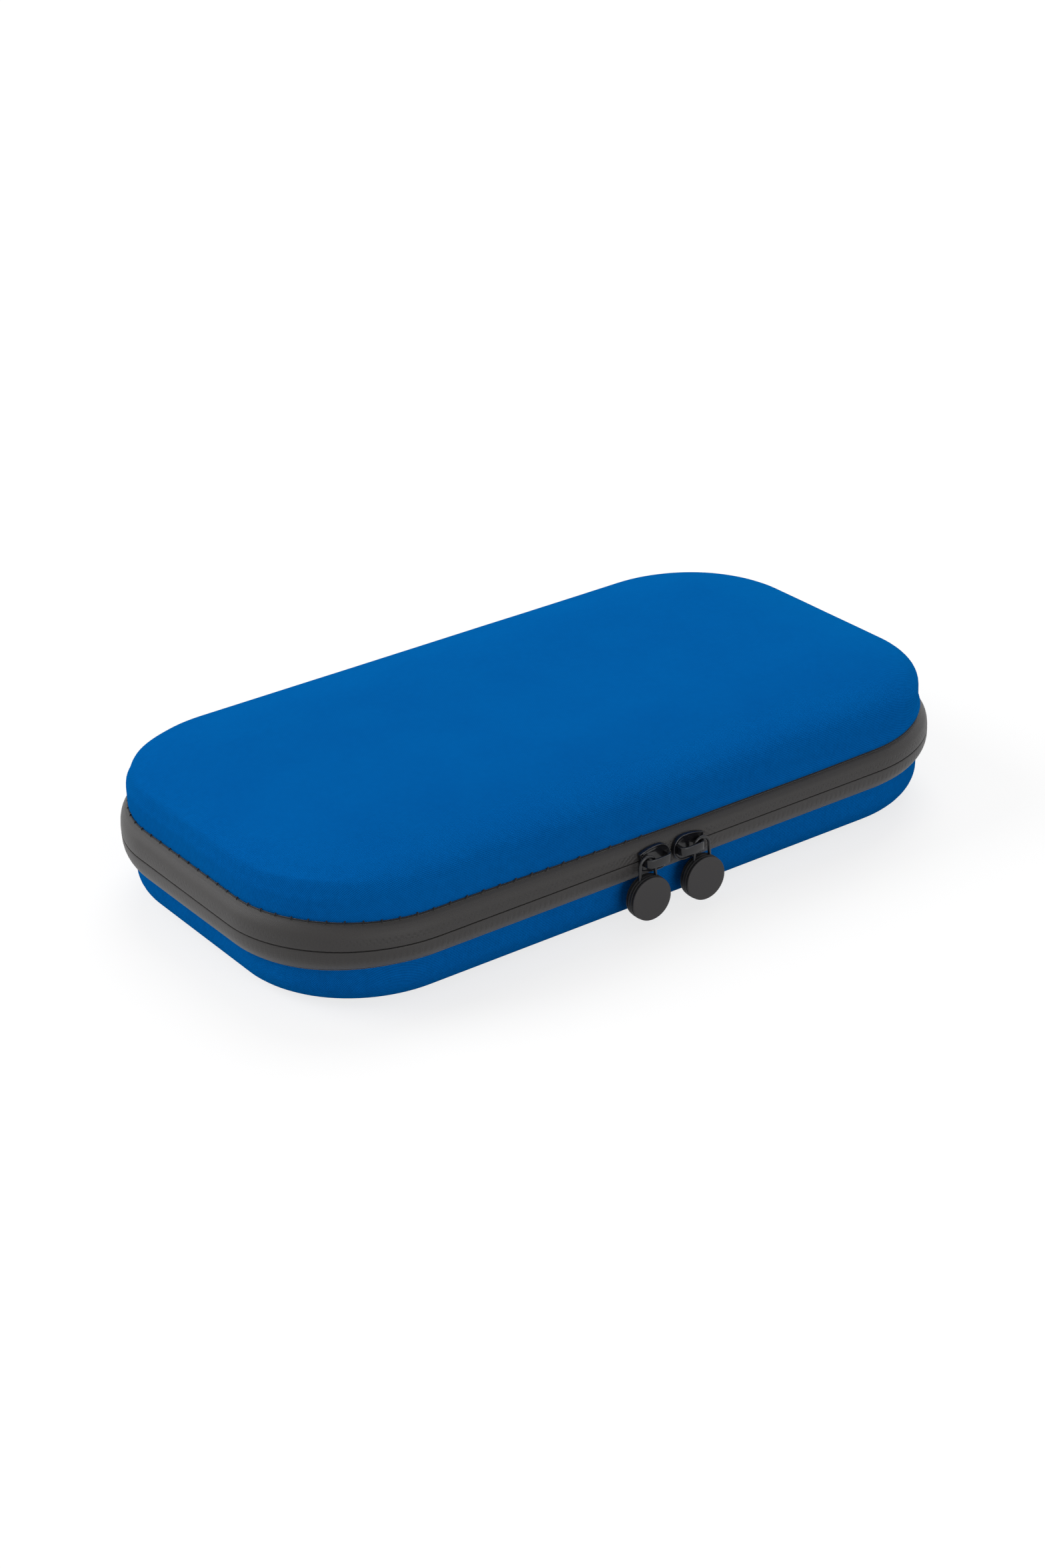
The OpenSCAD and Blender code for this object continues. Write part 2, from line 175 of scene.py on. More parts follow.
class Rim:
    """The zip band's crest from above. Distances run anticlockwise from the middle of the back."""

    def __init__(self, length, width, corner):
        self.corner = corner
        self.run_x = length / 2 - corner
        self.run_y = width / 2 - corner
        self.arc = corner * QUARTER
        self.side = self.run_x + self.arc + self.run_y
        self.total = 4 * self.side

    def place(self, distance):
        """Centre of curvature and outward heading at a distance along the crest"""
        distance = distance % self.total
        centre = Vector((0, self.run_y, 0))
        heading = QUARTER
        for straight in (self.run_x, 2 * self.run_y, 2 * self.run_x, 2 * self.run_y, self.run_x):
            ahead = Vector((-math.sin(heading), math.cos(heading), 0))
            if distance <= straight:
                return centre + ahead * distance, heading
            distance -= straight
            centre = centre + ahead * straight
            if distance <= self.arc:
                return centre, heading + distance / self.corner
            distance -= self.arc
            heading += QUARTER
        return centre, heading

    def point(self, distance, inset, z):
        """Point at a distance along the crest, inside it, and above the zip line"""
        centre, heading = self.place(distance)
        out = Vector((math.cos(heading), math.sin(heading), 0))
        return centre + out * (self.corner - inset) + Vector((0, 0, ZIP_Z + z))

    def nearest(self, co):
        """Nearest point of the rectangle between the corners' centres"""
        return Vector((min(max(co.x, -self.run_x), self.run_x), min(max(co.y, -self.run_y), self.run_y)))

    def distance(self, co):
        """Distance along the crest of the crest point nearest to co"""
        centre = self.nearest(co)
        quarter = (math.atan2(co.y - centre.y, co.x - centre.x) / QUARTER - 1) % 4
        whole = math.floor(quarter + 1e-5) % 4
        along = (-centre.x, -centre.y, centre.x, centre.y)[whole]
        turned = max(quarter - whole, 0) if quarter - whole < 3 else 0
        return (whole * self.side + along + turned * self.arc) % self.total

    def drape(self, co, depth):
        """Where a point lay on the flat cloth that was moulded over the form"""
        centre = self.nearest(co)
        out = co.xy - centre
        if out.length < 1e-7:
            return centre
        return centre + out.normalized() * depth


def points_at(*pairs):
    """Points from pairs of numbers"""
    return [Vector(pair) for pair in pairs]


def shares(steps):
    """Even steps from 0 to 1"""
    return [i / steps for i in range(steps + 1)]


def smooth(low, high, value):
    """0 at low, 1 at high and smooth between; low may be the larger one"""
    t = min(1, max(0, (value - low) / (high - low)))
    return t * t * (3 - 2 * t)


def hump(value, middle, width):
    """1 at the middle, falling off smoothly on both sides"""
    return math.exp(-((value - middle) / width) ** 2)


def sewn_share(co, side):
    """Width of a tape at a place, as a share of its usual width: it is sewn on by hand, so the
    band is widest at the left end and narrows along the front"""
    left_end = smooth(-100 * MM, -138 * MM, co.x)
    front = smooth(20 * MM, -60 * MM, co.y)
    if side > 0:
        rightwards = smooth(-105 * MM, 20 * MM, co.x) - 0.2 * smooth(60 * MM, 95 * MM, co.x)
        return 1 + 0.12 * left_end - 0.22 * front * rightwards
    return 1 + 0.15 * left_end - 0.055 * front


def tucked(co):
    """1 where the sewn edge lies under the cloth, along the right half of the front, else 0"""
    return smooth(-40 * MM, 15 * MM, co.x) * smooth(0, -60 * MM, co.y)


def parabola(start, knee, end, t):
    """Point of the curve that leaves start towards knee and arrives at end"""
    return start * (1 - t) ** 2 + knee * 2 * t * (1 - t) + end * t ** 2


def arc_points(centre, radius, start, end, steps):
    """Points of a circular arc, with angles in degrees"""
    angles = [math.radians(start + (end - start) * t) for t in shares(steps)]
    centre = Vector(centre)
    return [centre + radius * Vector((math.cos(a), math.sin(a))) for a in angles]


def mirrored(points, middle):
    """The same points on the other side of an upright line, in reverse"""
    return [Vector((2 * middle - p.x, p.y)) for p in reversed(points)]


def bow(start, end, sag, steps):
    """Points of a shallow curve between two points, sagging to the left of its way"""
    start = Vector(start)
    end = Vector(end)
    across = Vector((start.y - end.y, end.x - start.x)).normalized()
    return [start.lerp(end, t) + across * sag * 4 * t * (1 - t) for t in shares(steps)]


def lid_skin(shape, depth):
    """Lid's section at a depth below its cloth, from the rim to the middle of the roof"""
    wall = LID_INSET + depth
    run = shape.corner_r - LID_INSET - shape.shoulder_w
    slope = 2 * shape.crown_h / run
    lean = math.sqrt(1 + slope * slope)
    edge = LID_H - shape.crown_h
    start = Vector((wall, edge - shape.shoulder_h - depth / 2))
    end = Vector((LID_INSET + shape.shoulder_w + depth * slope / lean, edge - depth / lean))
    knee = Vector((wall, end.y - slope * (end.x - wall)))
    rise = LID_H - depth - end.y
    rows = 22
    points = [Vector((wall, RIM_GAP + (start.y - RIM_GAP) * t)) for t in shares(rows)[:-1]]
    points += [parabola(start, knee, end, t) for t in shares(SHOULDER_STEPS)]
    for t in shares(ROOF_STEPS)[1:]:
        left = 1 - t
        inset = shape.corner_r - (shape.corner_r - end.x) * left
        points.append(Vector((inset, end.y + rise * (1 - left * left))))
    return points


def base_skin(shape, depth):
    """Base's section at a depth below its cloth, from the rim to the flat of the floor"""
    wall = BASE_INSET + depth
    heel = Vector((shape.heel_w - depth, shape.heel_h - depth))
    low = shape.heel_h - BASE_H
    points = points_at((wall, -RIM_GAP), (wall, (low - RIM_GAP) / 2))
    for t in shares(SHOULDER_STEPS):
        a = QUARTER * t
        points.append(Vector((wall + heel.x * (1 - math.cos(a)), low - heel.y * math.sin(a))))
    flat = wall + heel.x
    points += [Vector((flat + (shape.corner_r - flat) * t, depth - BASE_H)) for t in shares(3)[1:]]
    return points


def tape_section(shape, wall, width, side):
    """Section of one zip tape: rounded lip, cubic bulge, rolled top edge and the back"""
    edge = wall - shape.tape_t
    lip = shape.lip_gap / 2
    half = shape.tape_t / 2
    roll = 0.75 * shape.tape_t
    land = width - 1.3 * MM
    start = lip + 0.7 * half
    back = land - 0.6 * MM
    front_steps = 14
    back_steps = 7

    def crest(z):
        return edge * (z / width) ** 3

    points = points_at((half, lip), (0.2 * half, lip + 0.12 * half))
    for t in shares(front_steps):
        z = start + (width - roll - start) * t
        points.append(Vector((crest(z), z)))
    points += arc_points((edge + roll, width - roll), roll, 155, 105, 2)
    points += points_at((wall, width), (wall, land))
    for t in shares(back_steps):
        z = back - (back - lip) * t
        points.append(Vector((crest(z) + shape.tape_t, z)))
    return [Vector((p.x, p.y * side)) for p in points]


def ring(bm, points, closed):
    """Profile at the middle of the back, with how far along the profile each point lies"""
    across = bm.verts.layers.float.new("across")
    reach = CASE_W / 2
    verts = []
    travelled = 0
    for i, p in enumerate(points):
        if i:
            travelled += (p - points[i - 1]).length
        vert = bm.verts.new((0, reach - p.x, ZIP_Z + p.y))
        vert[across] = travelled
        verts.append(vert)
    pairs = zip(verts, verts[1:] + verts[:1]) if closed else zip(verts, verts[1:])
    edges = [bm.edges.new(pair) for pair in pairs]
    return verts, edges, travelled


def step_count(length):
    """Number of steps of about 14 mm along a straight run"""
    return max(1, round(length / (14 * MM)))


def only(kind, geometry):
    """The vertices or the edges among mixed geometry"""
    return [g for g in geometry if isinstance(g, kind)]


def run(bm, edges, way, steps):
    """Extrudes edges straight ahead"""
    for _ in range(steps):
        made = bmesh.ops.extrude_edge_only(bm, edges=edges)["geom"]
        verts = only(bmesh.types.BMVert, made)
        fresh = set(verts)
        bmesh.ops.translate(bm, vec=way / steps, verts=verts)
        edges = [e for e in only(bmesh.types.BMEdge, made) if set(e.verts) <= fresh]
    return edges


def turn(bm, edges, centre, steps):
    """Spins edges a quarter turn to the left"""
    verts = list(dict.fromkeys(v for e in edges for v in e.verts))
    made = bmesh.ops.spin(bm, geom=verts + edges, cent=centre, axis=(0, 0, 1), dvec=(0, 0, 0),
                          angle=QUARTER, steps=steps, use_merge=False, use_duplicate=False)
    return only(bmesh.types.BMEdge, made["geom_last"])


def carry(points, rim, shape, start=0.0, closed=False):
    """Carries a section round the case, from the back's middle or from a hinge end to the other"""
    bm = bmesh.new()
    verts, edges, travelled = ring(bm, points, closed)
    bmesh.ops.translate(bm, vec=(-start, 0, 0), verts=verts)
    first = edges
    centre = Vector((-start, rim.run_y, 0))
    heading = QUARTER
    end = (rim.run_x - start, step_count(rim.run_x))
    side = (2 * rim.run_y, 2 * step_count(rim.run_y))
    front = (2 * rim.run_x, 2 * step_count(rim.run_x))
    for i, (straight, steps) in enumerate((end, side, front, side, end)):
        way = Vector((-math.sin(heading), math.cos(heading), 0)) * straight
        edges = run(bm, edges, way, steps)
        centre = centre + way
        if i < 4:
            edges = turn(bm, edges, centre, shape.corner_steps)
            heading += QUARTER
    if start and closed:
        for loop in (first, edges):
            bmesh.ops.contextual_create(bm, geom=loop)
    bmesh.ops.remove_doubles(bm, verts=bm.verts, dist=TINY)
    bmesh.ops.recalc_face_normals(bm, faces=bm.faces)
    return bm, travelled


def map_path(bm, rim):
    """UV map in metres: along the crest, and across the section"""
    across = bm.verts.layers.float["across"]
    uv = bm.loops.layers.uv.new("Surface")
    for face in bm.faces:
        along = [rim.distance(loop.vert.co) for loop in face.loops]
        if max(along) - min(along) > rim.total / 2:
            along = [d + rim.total if d < rim.total / 2 else d for d in along]
        for loop, d in zip(face.loops, along):
            loop[uv].uv = (d, loop.vert[across])


def map_points(bm, place):
    """UV map in metres from a function that gives each vertex its place on the cloth"""
    uv = bm.loops.layers.uv.new("Surface")
    for face in bm.faces:
        for loop in face.loops:
            loop[uv].uv = place(loop.vert)


def add_object(name, data, *finishes):
    """Links a mesh, light or camera as a new object, with the materials of these names"""
    obj = bpy.data.objects.new(name, data)
    bpy.context.scene.collection.objects.link(obj)
    for finish in finishes:
        data.materials.append(material(finish))
    return obj


def finish_mesh(bm, name, *finishes, sharp=40):
    """Turns a bmesh into a smooth object whose edges past an angle stay sharp"""
    mesh = bpy.data.meshes.new(name)
    bm.to_mesh(mesh)
    bm.free()
    mesh.shade_smooth()
    mesh.set_sharp_from_angle(angle=math.radians(sharp))
    return add_object(name, mesh, *finishes)


def dress(obj, body, slot, *nodes):
    """Rides a piece on a body and hides the nodes that it stands for. Its slot is not used"""
    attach(obj, body)
    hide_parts(*nodes)
    return obj


def thicken(obj, thickness):
    """Gives a skin its thickness inwards"""
    wall = obj.modifiers.new("Thickness", "SOLIDIFY")
    wall.thickness = thickness
    wall.offset = -1
    wall.use_even_offset = True


def strand(name, paths, radius, finish, resolution=1, closed=False):
    """Round strands along lists of points, as one mesh"""
    curve = bpy.data.curves.new(name, "CURVE")
    curve.dimensions = "3D"
    curve.bevel_depth = radius
    curve.bevel_resolution = resolution
    curve.use_fill_caps = True
    for path in paths:
        spline = curve.splines.new("POLY")
        spline.points.add(len(path) - 1)
        for point, co in zip(spline.points, path):
            point.co = (*co, 1)
        spline.use_cyclic_u = closed
    holder = bpy.data.objects.new(name + "_path", curve)
    mesh = bpy.data.meshes.new_from_object(holder)
    bpy.data.objects.remove(holder)
    bpy.data.curves.remove(curve)
    mesh.name = name
    mesh.materials.clear()
    mesh.shade_smooth()
    return add_object(name, mesh, finish)


def operation(name):
    """A method that puts one math node on a value"""
    def method(self, *others):
        return self.graph.math(name, self, *others)
    return method


class Value:
    """A shader socket that takes part in arithmetic"""

    __add__ = __radd__ = operation("ADD")
    __mul__ = __rmul__ = operation("MULTIPLY")
    __sub__ = operation("SUBTRACT")
    __truediv__ = operation("DIVIDE")
    sine = operation("SINE")
    cosine = operation("COSINE")
    floor = operation("FLOOR")
    fraction = operation("FRACT")
    size = operation("ABSOLUTE")
    highest = operation("MAXIMUM")

    def __init__(self, graph, socket):
        self.graph = graph
        self.socket = socket

    def __rsub__(self, other):
        return self.graph.math("SUBTRACT", other, self)

    def wave(self, distance):
        """A sine wave with a given distance between its crests"""
        return (self * (2 * math.pi / distance)).sine()

    def ramp(self, low, high):
        """0 below low, 1 above high and smooth between; low may be the larger one"""
        return self.graph.add("MapRange", {"interpolation_type": "SMOOTHSTEP"},
                              {"Value": self, "From Min": low, "From Max": high})

    def within(self, low, high, soft):
        """1 between two values, with soft ends"""
        return self.ramp(low - soft, low + soft) * self.ramp(high + soft, high - soft)


class Graph:
    """Node tree of one material or of the world"""

    def __init__(self, owner):
        self.owner = owner
        owner.use_nodes = True
        self.tree = owner.node_tree
        self.tree.nodes.clear()

    def add(self, kind, settings=None, sockets=None, output=0):
        """Adds a shader node: its settings first, then the values or links of its sockets"""
        node = self.tree.nodes.new("ShaderNode" + kind)
        for key, value in (settings or {}).items():
            setattr(node, key, value)
        for key, value in (sockets or {}).items():
            if isinstance(value, Value):
                self.tree.links.new(value.socket, node.inputs[key])
            else:
                node.inputs[key].default_value = value
        return Value(self, node.outputs[output]) if node.outputs else None

    def math(self, operation, *values):
        return self.add("Math", {"operation": operation}, dict(enumerate(values)))

    def surface(self):
        """The piece's own UV map, in metres"""
        return self.split(self.add("UVMap", {"uv_map": "Surface"}))

    def split(self, vector):
        """The first two parts of a vector"""
        first = self.add("SeparateXYZ", sockets={0: vector})
        return first, Value(self, first.socket.node.outputs[1])

    def place(self):
        """Object coordinates, in metres"""
        return self.add("TexCoord", output="Object")

    def height(self):
        """Height above the ground in the closed case, in metres"""
        return self.add("SeparateXYZ", sockets={0: self.place()}, output=2)

    def noise(self, vector, size, detail=2.0, roughness=0.5):
        """Noise whose lumps are about as wide as size"""
        return self.add("TexNoise", sockets={
            "Vector": vector, "Scale": 1 / size, "Detail": detail, "Roughness": roughness}, output="Fac")

    def blend(self, factor, low, high):
        """Colour between two colours"""
        low, high = ((*c, 1) if isinstance(c, tuple) else c for c in (low, high))
        return self.add("Mix", {"data_type": "RGBA"}, {"Factor": factor, 6: low, 7: high}, output=2)

    def bump(self, height, distance):
        return self.add("Bump", sockets={"Strength": 1.0, "Distance": distance, "Height": height})

    def plainly_seen(self):
        """1 where the camera sees the surface, straight or through gloss or glass, else 0"""
        rays = [self.add("LightPath", output=f"Is {kind} Ray")
                for kind in ("Camera", "Glossy", "Transmission")]
        return rays[0].highest(rays[1]).highest(rays[2])

    def finish(self, **sockets):
        """Ends the tree in a Principled shader, with socket names given in lower case"""
        named = {key.replace("_", " ").title().replace("Ior", "IOR"): value
                 for key, value in sockets.items()}
        shader = self.add("BsdfPrincipled", sockets=named)
        self.add("OutputMaterial", sockets={"Surface": shader})
        return self.owner


def shade(colour, amount):
    """A colour made darker or lighter by a factor"""
    return tuple(min(1.0, c * amount) for c in colour)


def woven_height(u, v, pitch):
    """Height of a plain weave from 0 between the threads to 1 on their crowns"""
    a = u / pitch
    b = v / pitch
    warp = (a.fraction() * math.pi).sine() * (0.5 + 0.5 * ((b - 0.5 - a.floor()) * math.pi).cosine())
    weft = (b.fraction() * math.pi).sine() * (0.5 - 0.5 * ((a - 0.5 - b.floor()) * math.pi).cosine())
    return warp.highest(weft)


def cover_cloth(g, finish, dark, light):
    """Fine woven polyester laminated on foam, with painted shade in the hollows of its weave and a
    painted highlight on its crowns. The weave is drawn tight and flat on the lid's roof."""
    u, v = g.surface()
    ribs = ((v / finish.weave_pitch).fraction() * math.pi).sine()
    height = woven_height(u, v, finish.weave_pitch) * 0.6 + ribs * 0.4
    slub = g.noise(g.place(), 2.2 * MM, 3)
    drift = g.noise(g.place(), 26 * MM, 2)
    roof = g.height().ramp(ZIP_Z + 20 * MM, ZIP_Z + 27 * MM)
    relief = 1 - roof * 0.6
    pattern = (height * 0.7 + slub * 0.3 - 0.5) * relief + 0.5
    colour = tuple(finish.cloth)
    # Painted shade in the weave's hollows and painted highlight on its crowns, by the factors dark and
    # light, weaker on the roof
    thread = g.blend(pattern, shade(colour, dark), shade(colour, light))
    faded = (0.0, 0.26, 0.70)
    return g.finish(
        base_color=g.blend(drift.ramp(0.3, 0.7) * 0.03, thread, faded),
        roughness=0.75, specular_ior_level=0.0,
        sheen_weight=0.20, sheen_roughness=0.40, sheen_tint=(0.0, 0.42, 1.0, 1),
        normal=g.bump((height + slub * 0.35) * relief, 0.10 * MM))


def coated_tape(g, finish, side):
    """Coated zip tape with a fine emboss, prints of the coil and creases behind the sliders. The
    coil shows as two rows of dots on the lid's tape (side 1), as ribs on the base's (side -1) and
    not at all on the hinge's (side 0). The prints are faint at the left end, where the tape's colour is also
    painted darker as painted shade."""
    u, v = g.surface()
    place = g.place()
    grain = g.noise(place, 0.55 * MM, 2)
    emboss = (u + v).wave(0.66 * MM) * (u - v).wave(0.95 * MM)
    turns = u.wave(2.1 * MM)
    height = grain * 0.22 + emboss * 0.10
    prints = 0
    along, _ = g.split(place)
    # Ramp that is 0.3 at the left end and 1 past it: it makes the prints faint there, and it paints the
    # tape's colour darker there as painted shade
    fresh = along.ramp(-134 * MM, -104 * MM) * 0.7 + 0.3
    if side > 0:
        low_row = turns.ramp(0.2, 0.9) * v.within(2.2 * MM, 2.9 * MM, 0.3 * MM)
        high_row = (0 - turns).ramp(0.2, 0.9) * v.within(3.2 * MM, 3.9 * MM, 0.3 * MM)
        prints = (low_row + high_row) * fresh * 0.6
    if side < 0:
        prints = turns.ramp(-0.3, 0.8) * v.within(1.9 * MM, 4.3 * MM, 0.7 * MM) * fresh * 0.35
    if side:
        ends = (u - case_rim().total / 2).size()
        near = ends.ramp(28 * MM, 13 * MM) * ends.ramp(5 * MM, 9 * MM) * v.ramp(6.5 * MM, 1.5 * MM)
        bent = g.noise(place, 6 * MM, 1)
        crease = (ends * 0.8 + v * 0.9 + bent * (2.4 * MM)).wave(1.9 * MM)
        height = height - prints + crease * near * 0.35
    colour = tuple(finish.tape)
    # The tape's tone: random grain, the emboss and the darker prints, plus painted shade that darkens the
    # left end
    tone_and_painted_shade = grain * 0.25 + emboss * 0.12 - prints * 0.45 + 0.335 + fresh * 0.12
    return g.finish(
        base_color=g.blend(tone_and_painted_shade, shade(colour, 0.72), shade(colour, 1.25)),
        roughness=0.50, specular_ior_level=0.28,
        sheen_weight=0.10, sheen_roughness=0.5, normal=g.bump(height, 0.2 * MM))


def black_weave(g, colour, pitch, depth, ribs=0.0):
    """Black woven tape or webbing with ribs along it where ribs is above 0; painted shade in its hollows,
    painted highlight on its crowns
    """
    u, v = g.surface()
    height = woven_height(u, v, pitch)
    if ribs:
        height = height * 0.4 + (v * (math.pi / ribs)).sine().size() * 0.6
    fuzz = g.noise(g.place(), 1.1 * MM, 3)
    # Painted shade in the hollows and painted highlight on the crowns, mixed with random fuzz
    tone = g.blend(height * 0.6 + fuzz * 0.4, shade(colour, 0.55), shade(colour, 1.6))
    return g.finish(
        base_color=tone, roughness=0.85, specular_ior_level=0.25,
        sheen_weight=0.25, sheen_roughness=0.45, normal=g.bump(height + fuzz * 0.3, depth))


def fuzzy(g, colour, size, depth, roughness=0.9):
    """Brushed knit, foam, thread or pile: noise at two sizes"""
    pile = g.noise(g.place(), size, 4, 0.65)
    drift = g.noise(g.place(), 14 * MM, 2)
    tone = g.blend(pile * 0.7 + drift * 0.3, shade(colour, 0.5), shade(colour, 1.7))
    return g.finish(
        base_color=tone, roughness=roughness, specular_ior_level=0.2,
        sheen_weight=0.3, sheen_roughness=0.5, normal=g.bump(pile, depth))


def smooth_black(g, colour, roughness, coat, size, depth, level=0.2):
    """Painted metal, nylon or rubber: a little uneven, with fine worn patches in its gloss"""
    fine = g.noise(g.place(), size, 3, 0.6)
    cloud = g.noise(g.place(), 9 * size, 2)
    tone = g.blend(fine * 0.5 + cloud * 0.5, shade(colour, 0.78), shade(colour, 1.25))
    return g.finish(
        base_color=tone, roughness=roughness + (cloud - 0.5) * 0.16 + (fine - 0.5) * 0.10,
        specular_ior_level=level, coat_weight=coat, coat_roughness=0.07, normal=g.bump(fine, depth))


def paper(g, unseen, seen, glow):
    """Grey paper that glows where the camera sees it, so that it looks white past the shadow"""
    plainly = g.plainly_seen()
    return g.finish(
        base_color=g.blend(plainly, shade((1, 1, 1), unseen), shade((1, 1, 1), seen)), roughness=1.0,
        specular_ior_level=0.0, emission_color=plainly * glow, emission_strength=1.0)


def material(name):
    """A finish by its name, made the first time it is asked for"""
    found = bpy.data.materials.get(name)
    if found:
        return found
    finish = bpy.context.scene.case_finish
    black = tuple(finish.black_cloth)
    metal = tuple(finish.metal)
    rubber = tuple(finish.rubber)
    thread = tuple(finish.thread)
    nylon = (0.012, 0.012, 0.013)
    grooved = (0.014, 0.014, 0.015)
    recipes = {
        # The cover cloths' factors of painted shade in the weave's hollows and painted highlight on its
        # crowns
        "blue_lid_cloth": (cover_cloth, finish, 0.5122, 1.3396),
        "blue_base_cloth": (cover_cloth, finish, 0.3743, 1.50705),
        "lid_zip_tape": (coated_tape, finish, 1),
        "base_zip_tape": (coated_tape, finish, -1),
        "hinge_tape": (coated_tape, finish, 0),
        "ribbed_binding": (black_weave, black, 0.7 * MM, 0.12 * MM, 0.9 * MM),
        "strap_webbing": (black_weave, black, 1.5 * MM, 0.25 * MM),
        "woven_elastic": (black_weave, shade(black, 0.8), 0.8 * MM, 0.15 * MM, 1.1 * MM),
        "brushed_knit": (fuzzy, black, 0.7 * MM, 0.12 * MM),
        "black_foam": (fuzzy, shade(black, 1.5), 0.4 * MM, 0.08 * MM),
        "hook_pile": (fuzzy, shade(black, 0.8), 0.9 * MM, 0.5 * MM, 0.6),
        "loop_pile": (fuzzy, black, 0.6 * MM, 0.4 * MM),
        "knitted_net": (fuzzy, shade(black, 1.2), 0.3 * MM, 0.05 * MM, 0.7),
        "sewing_thread": (fuzzy, thread, 0.25 * MM, 0.06 * MM, 0.75),
        "coil_nylon": (smooth_black, nylon, 0.34, 0.0, 0.5 * MM, 0.01 * MM),
        "painted_metal": (smooth_black, metal, 0.30, 0.45, 0.6 * MM, 0.005 * MM),
        "pull_face": (smooth_black, rubber, 0.62, 0.0, 0.25 * MM, 0.006 * MM, 0.3),
        "pull_rim": (smooth_black, grooved, 0.55, 0.0, 0.3 * MM, 0.012 * MM, 0.3),
        "floor_paper": (paper, 0.56, 0.26, 0.76),
    }
    maker, *values = recipes[name]
    return maker(Graph(bpy.data.materials.new(name)), *values)


def case_rim():
    """The band's crest at the sizes that are set"""
    return Rim(CASE_L, CASE_W, bpy.context.scene.case_shape.corner_r)


def pressed_edge(vert):
    """Outward move that turns the lid's round shoulder into a crisp edge at the left end. The
    shoulder is found by how far its faces turn up."""
    up = vert.normal.z
    edge = 0.75 * MM * hump(up, 0.80, 0.08)
    wall_side = 0.38 * MM * hump(up, 0.45, 0.18)
    roof_side = 0.25 * MM * hump(up, 0.91, 0.045)
    return (edge - wall_side - roof_side) * smooth(-104 * MM, -128 * MM, vert.co.x)


def uneven(bm, amount):
    """Moves points of the lid's cloth in and out: pinched along the seam or bulging over it,
    uneven above it, pressed to an edge at the left end and calm on the roof"""
    wide_waves = 38
    small_waves = 90
    bm.normal_update()
    for vert in bm.verts:
        seam = LID_TAPE_W * sewn_share(vert.co, 1) + 0.2 * MM
        above = vert.co.z - ZIP_Z - seam
        pinch = 0.42 * MM * hump(above, 0, 0.9 * MM)
        bulge = 0.7 * MM * tucked(vert.co) * hump(above, 1.9 * MM, 1.6 * MM)
        wide = noise.noise(vert.co * wide_waves)
        small = noise.noise(vert.co * small_waves + Vector((7, 3, 5)))
        steep = 0.3 + 0.7 * (1 - vert.normal.z ** 2)
        lump = (wide + 0.5 * small) * amount * steep * smooth(0, 5 * MM, above)
        vert.co += vert.normal * (lump + pressed_edge(vert) + bulge - pinch)


def moulded_skin(name, points, shape, finish, amount=0):
    """A cloth skin over one half of the case: the carried section and its flat middle"""
    rim = case_rim()
    bm, depth = carry(points, rim, shape)
    across = bm.verts.layers.float["across"]
    columns = 2 * step_count(rim.run_x)
    rows = 2 * step_count(rim.run_y)
    middle = points[-1].y
    grid = bmesh.ops.create_grid(bm, x_segments=columns, y_segments=rows, size=1)["verts"]
    bmesh.ops.scale(bm, vec=(rim.run_x, rim.run_y, 1), verts=grid)
    bmesh.ops.translate(bm, vec=(0, 0, ZIP_Z + middle), verts=grid)
    for vert in grid:
        vert[across] = depth
    bmesh.ops.remove_doubles(bm, verts=bm.verts, dist=20 * TINY)
    bmesh.ops.recalc_face_normals(bm, faces=bm.faces)
    top = max(bm.faces, key=lambda f: abs(f.calc_center_median().z - ZIP_Z))
    if top.normal.z * middle < 0:
        bmesh.ops.reverse_faces(bm, faces=bm.faces)
    map_points(bm, lambda vert: rim.drape(vert.co, depth - vert[across]))
    if amount:
        uneven(bm, amount)
    return finish_mesh(bm, name, finish, sharp=60)


class CASE_OT_covers(Operator):
    """Cloth covers and knitted linings of the lid and the base"""

    bl_idname = "case.covers"
    bl_label = "Covers and linings"

    def execute(self, context):
        shape = context.scene.case_shape
        halves = (("lid", lid_skin, shape.unevenness), ("base", base_skin, 0))
        for body, section, amount in halves:
            cloth = moulded_skin(body + "_cloth", section(shape, 0), shape, f"blue_{body}_cloth", amount)
            thicken(cloth, shape.cover_t)
            dress(cloth, body, body + "_cloth", body + "_cover")
        for body, section, _ in halves:
            knit = moulded_skin(body + "_knit", section(shape, LINING_DEPTH), shape, "brushed_knit")
            thicken(knit, shape.lining_t)
            dress(knit, body, "lining_cloth", body + "_lining")
            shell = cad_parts[body + "_shell"]
            shell.data.materials.clear()
            shell.data.materials.append(material("black_foam"))
        return {"FINISHED"}


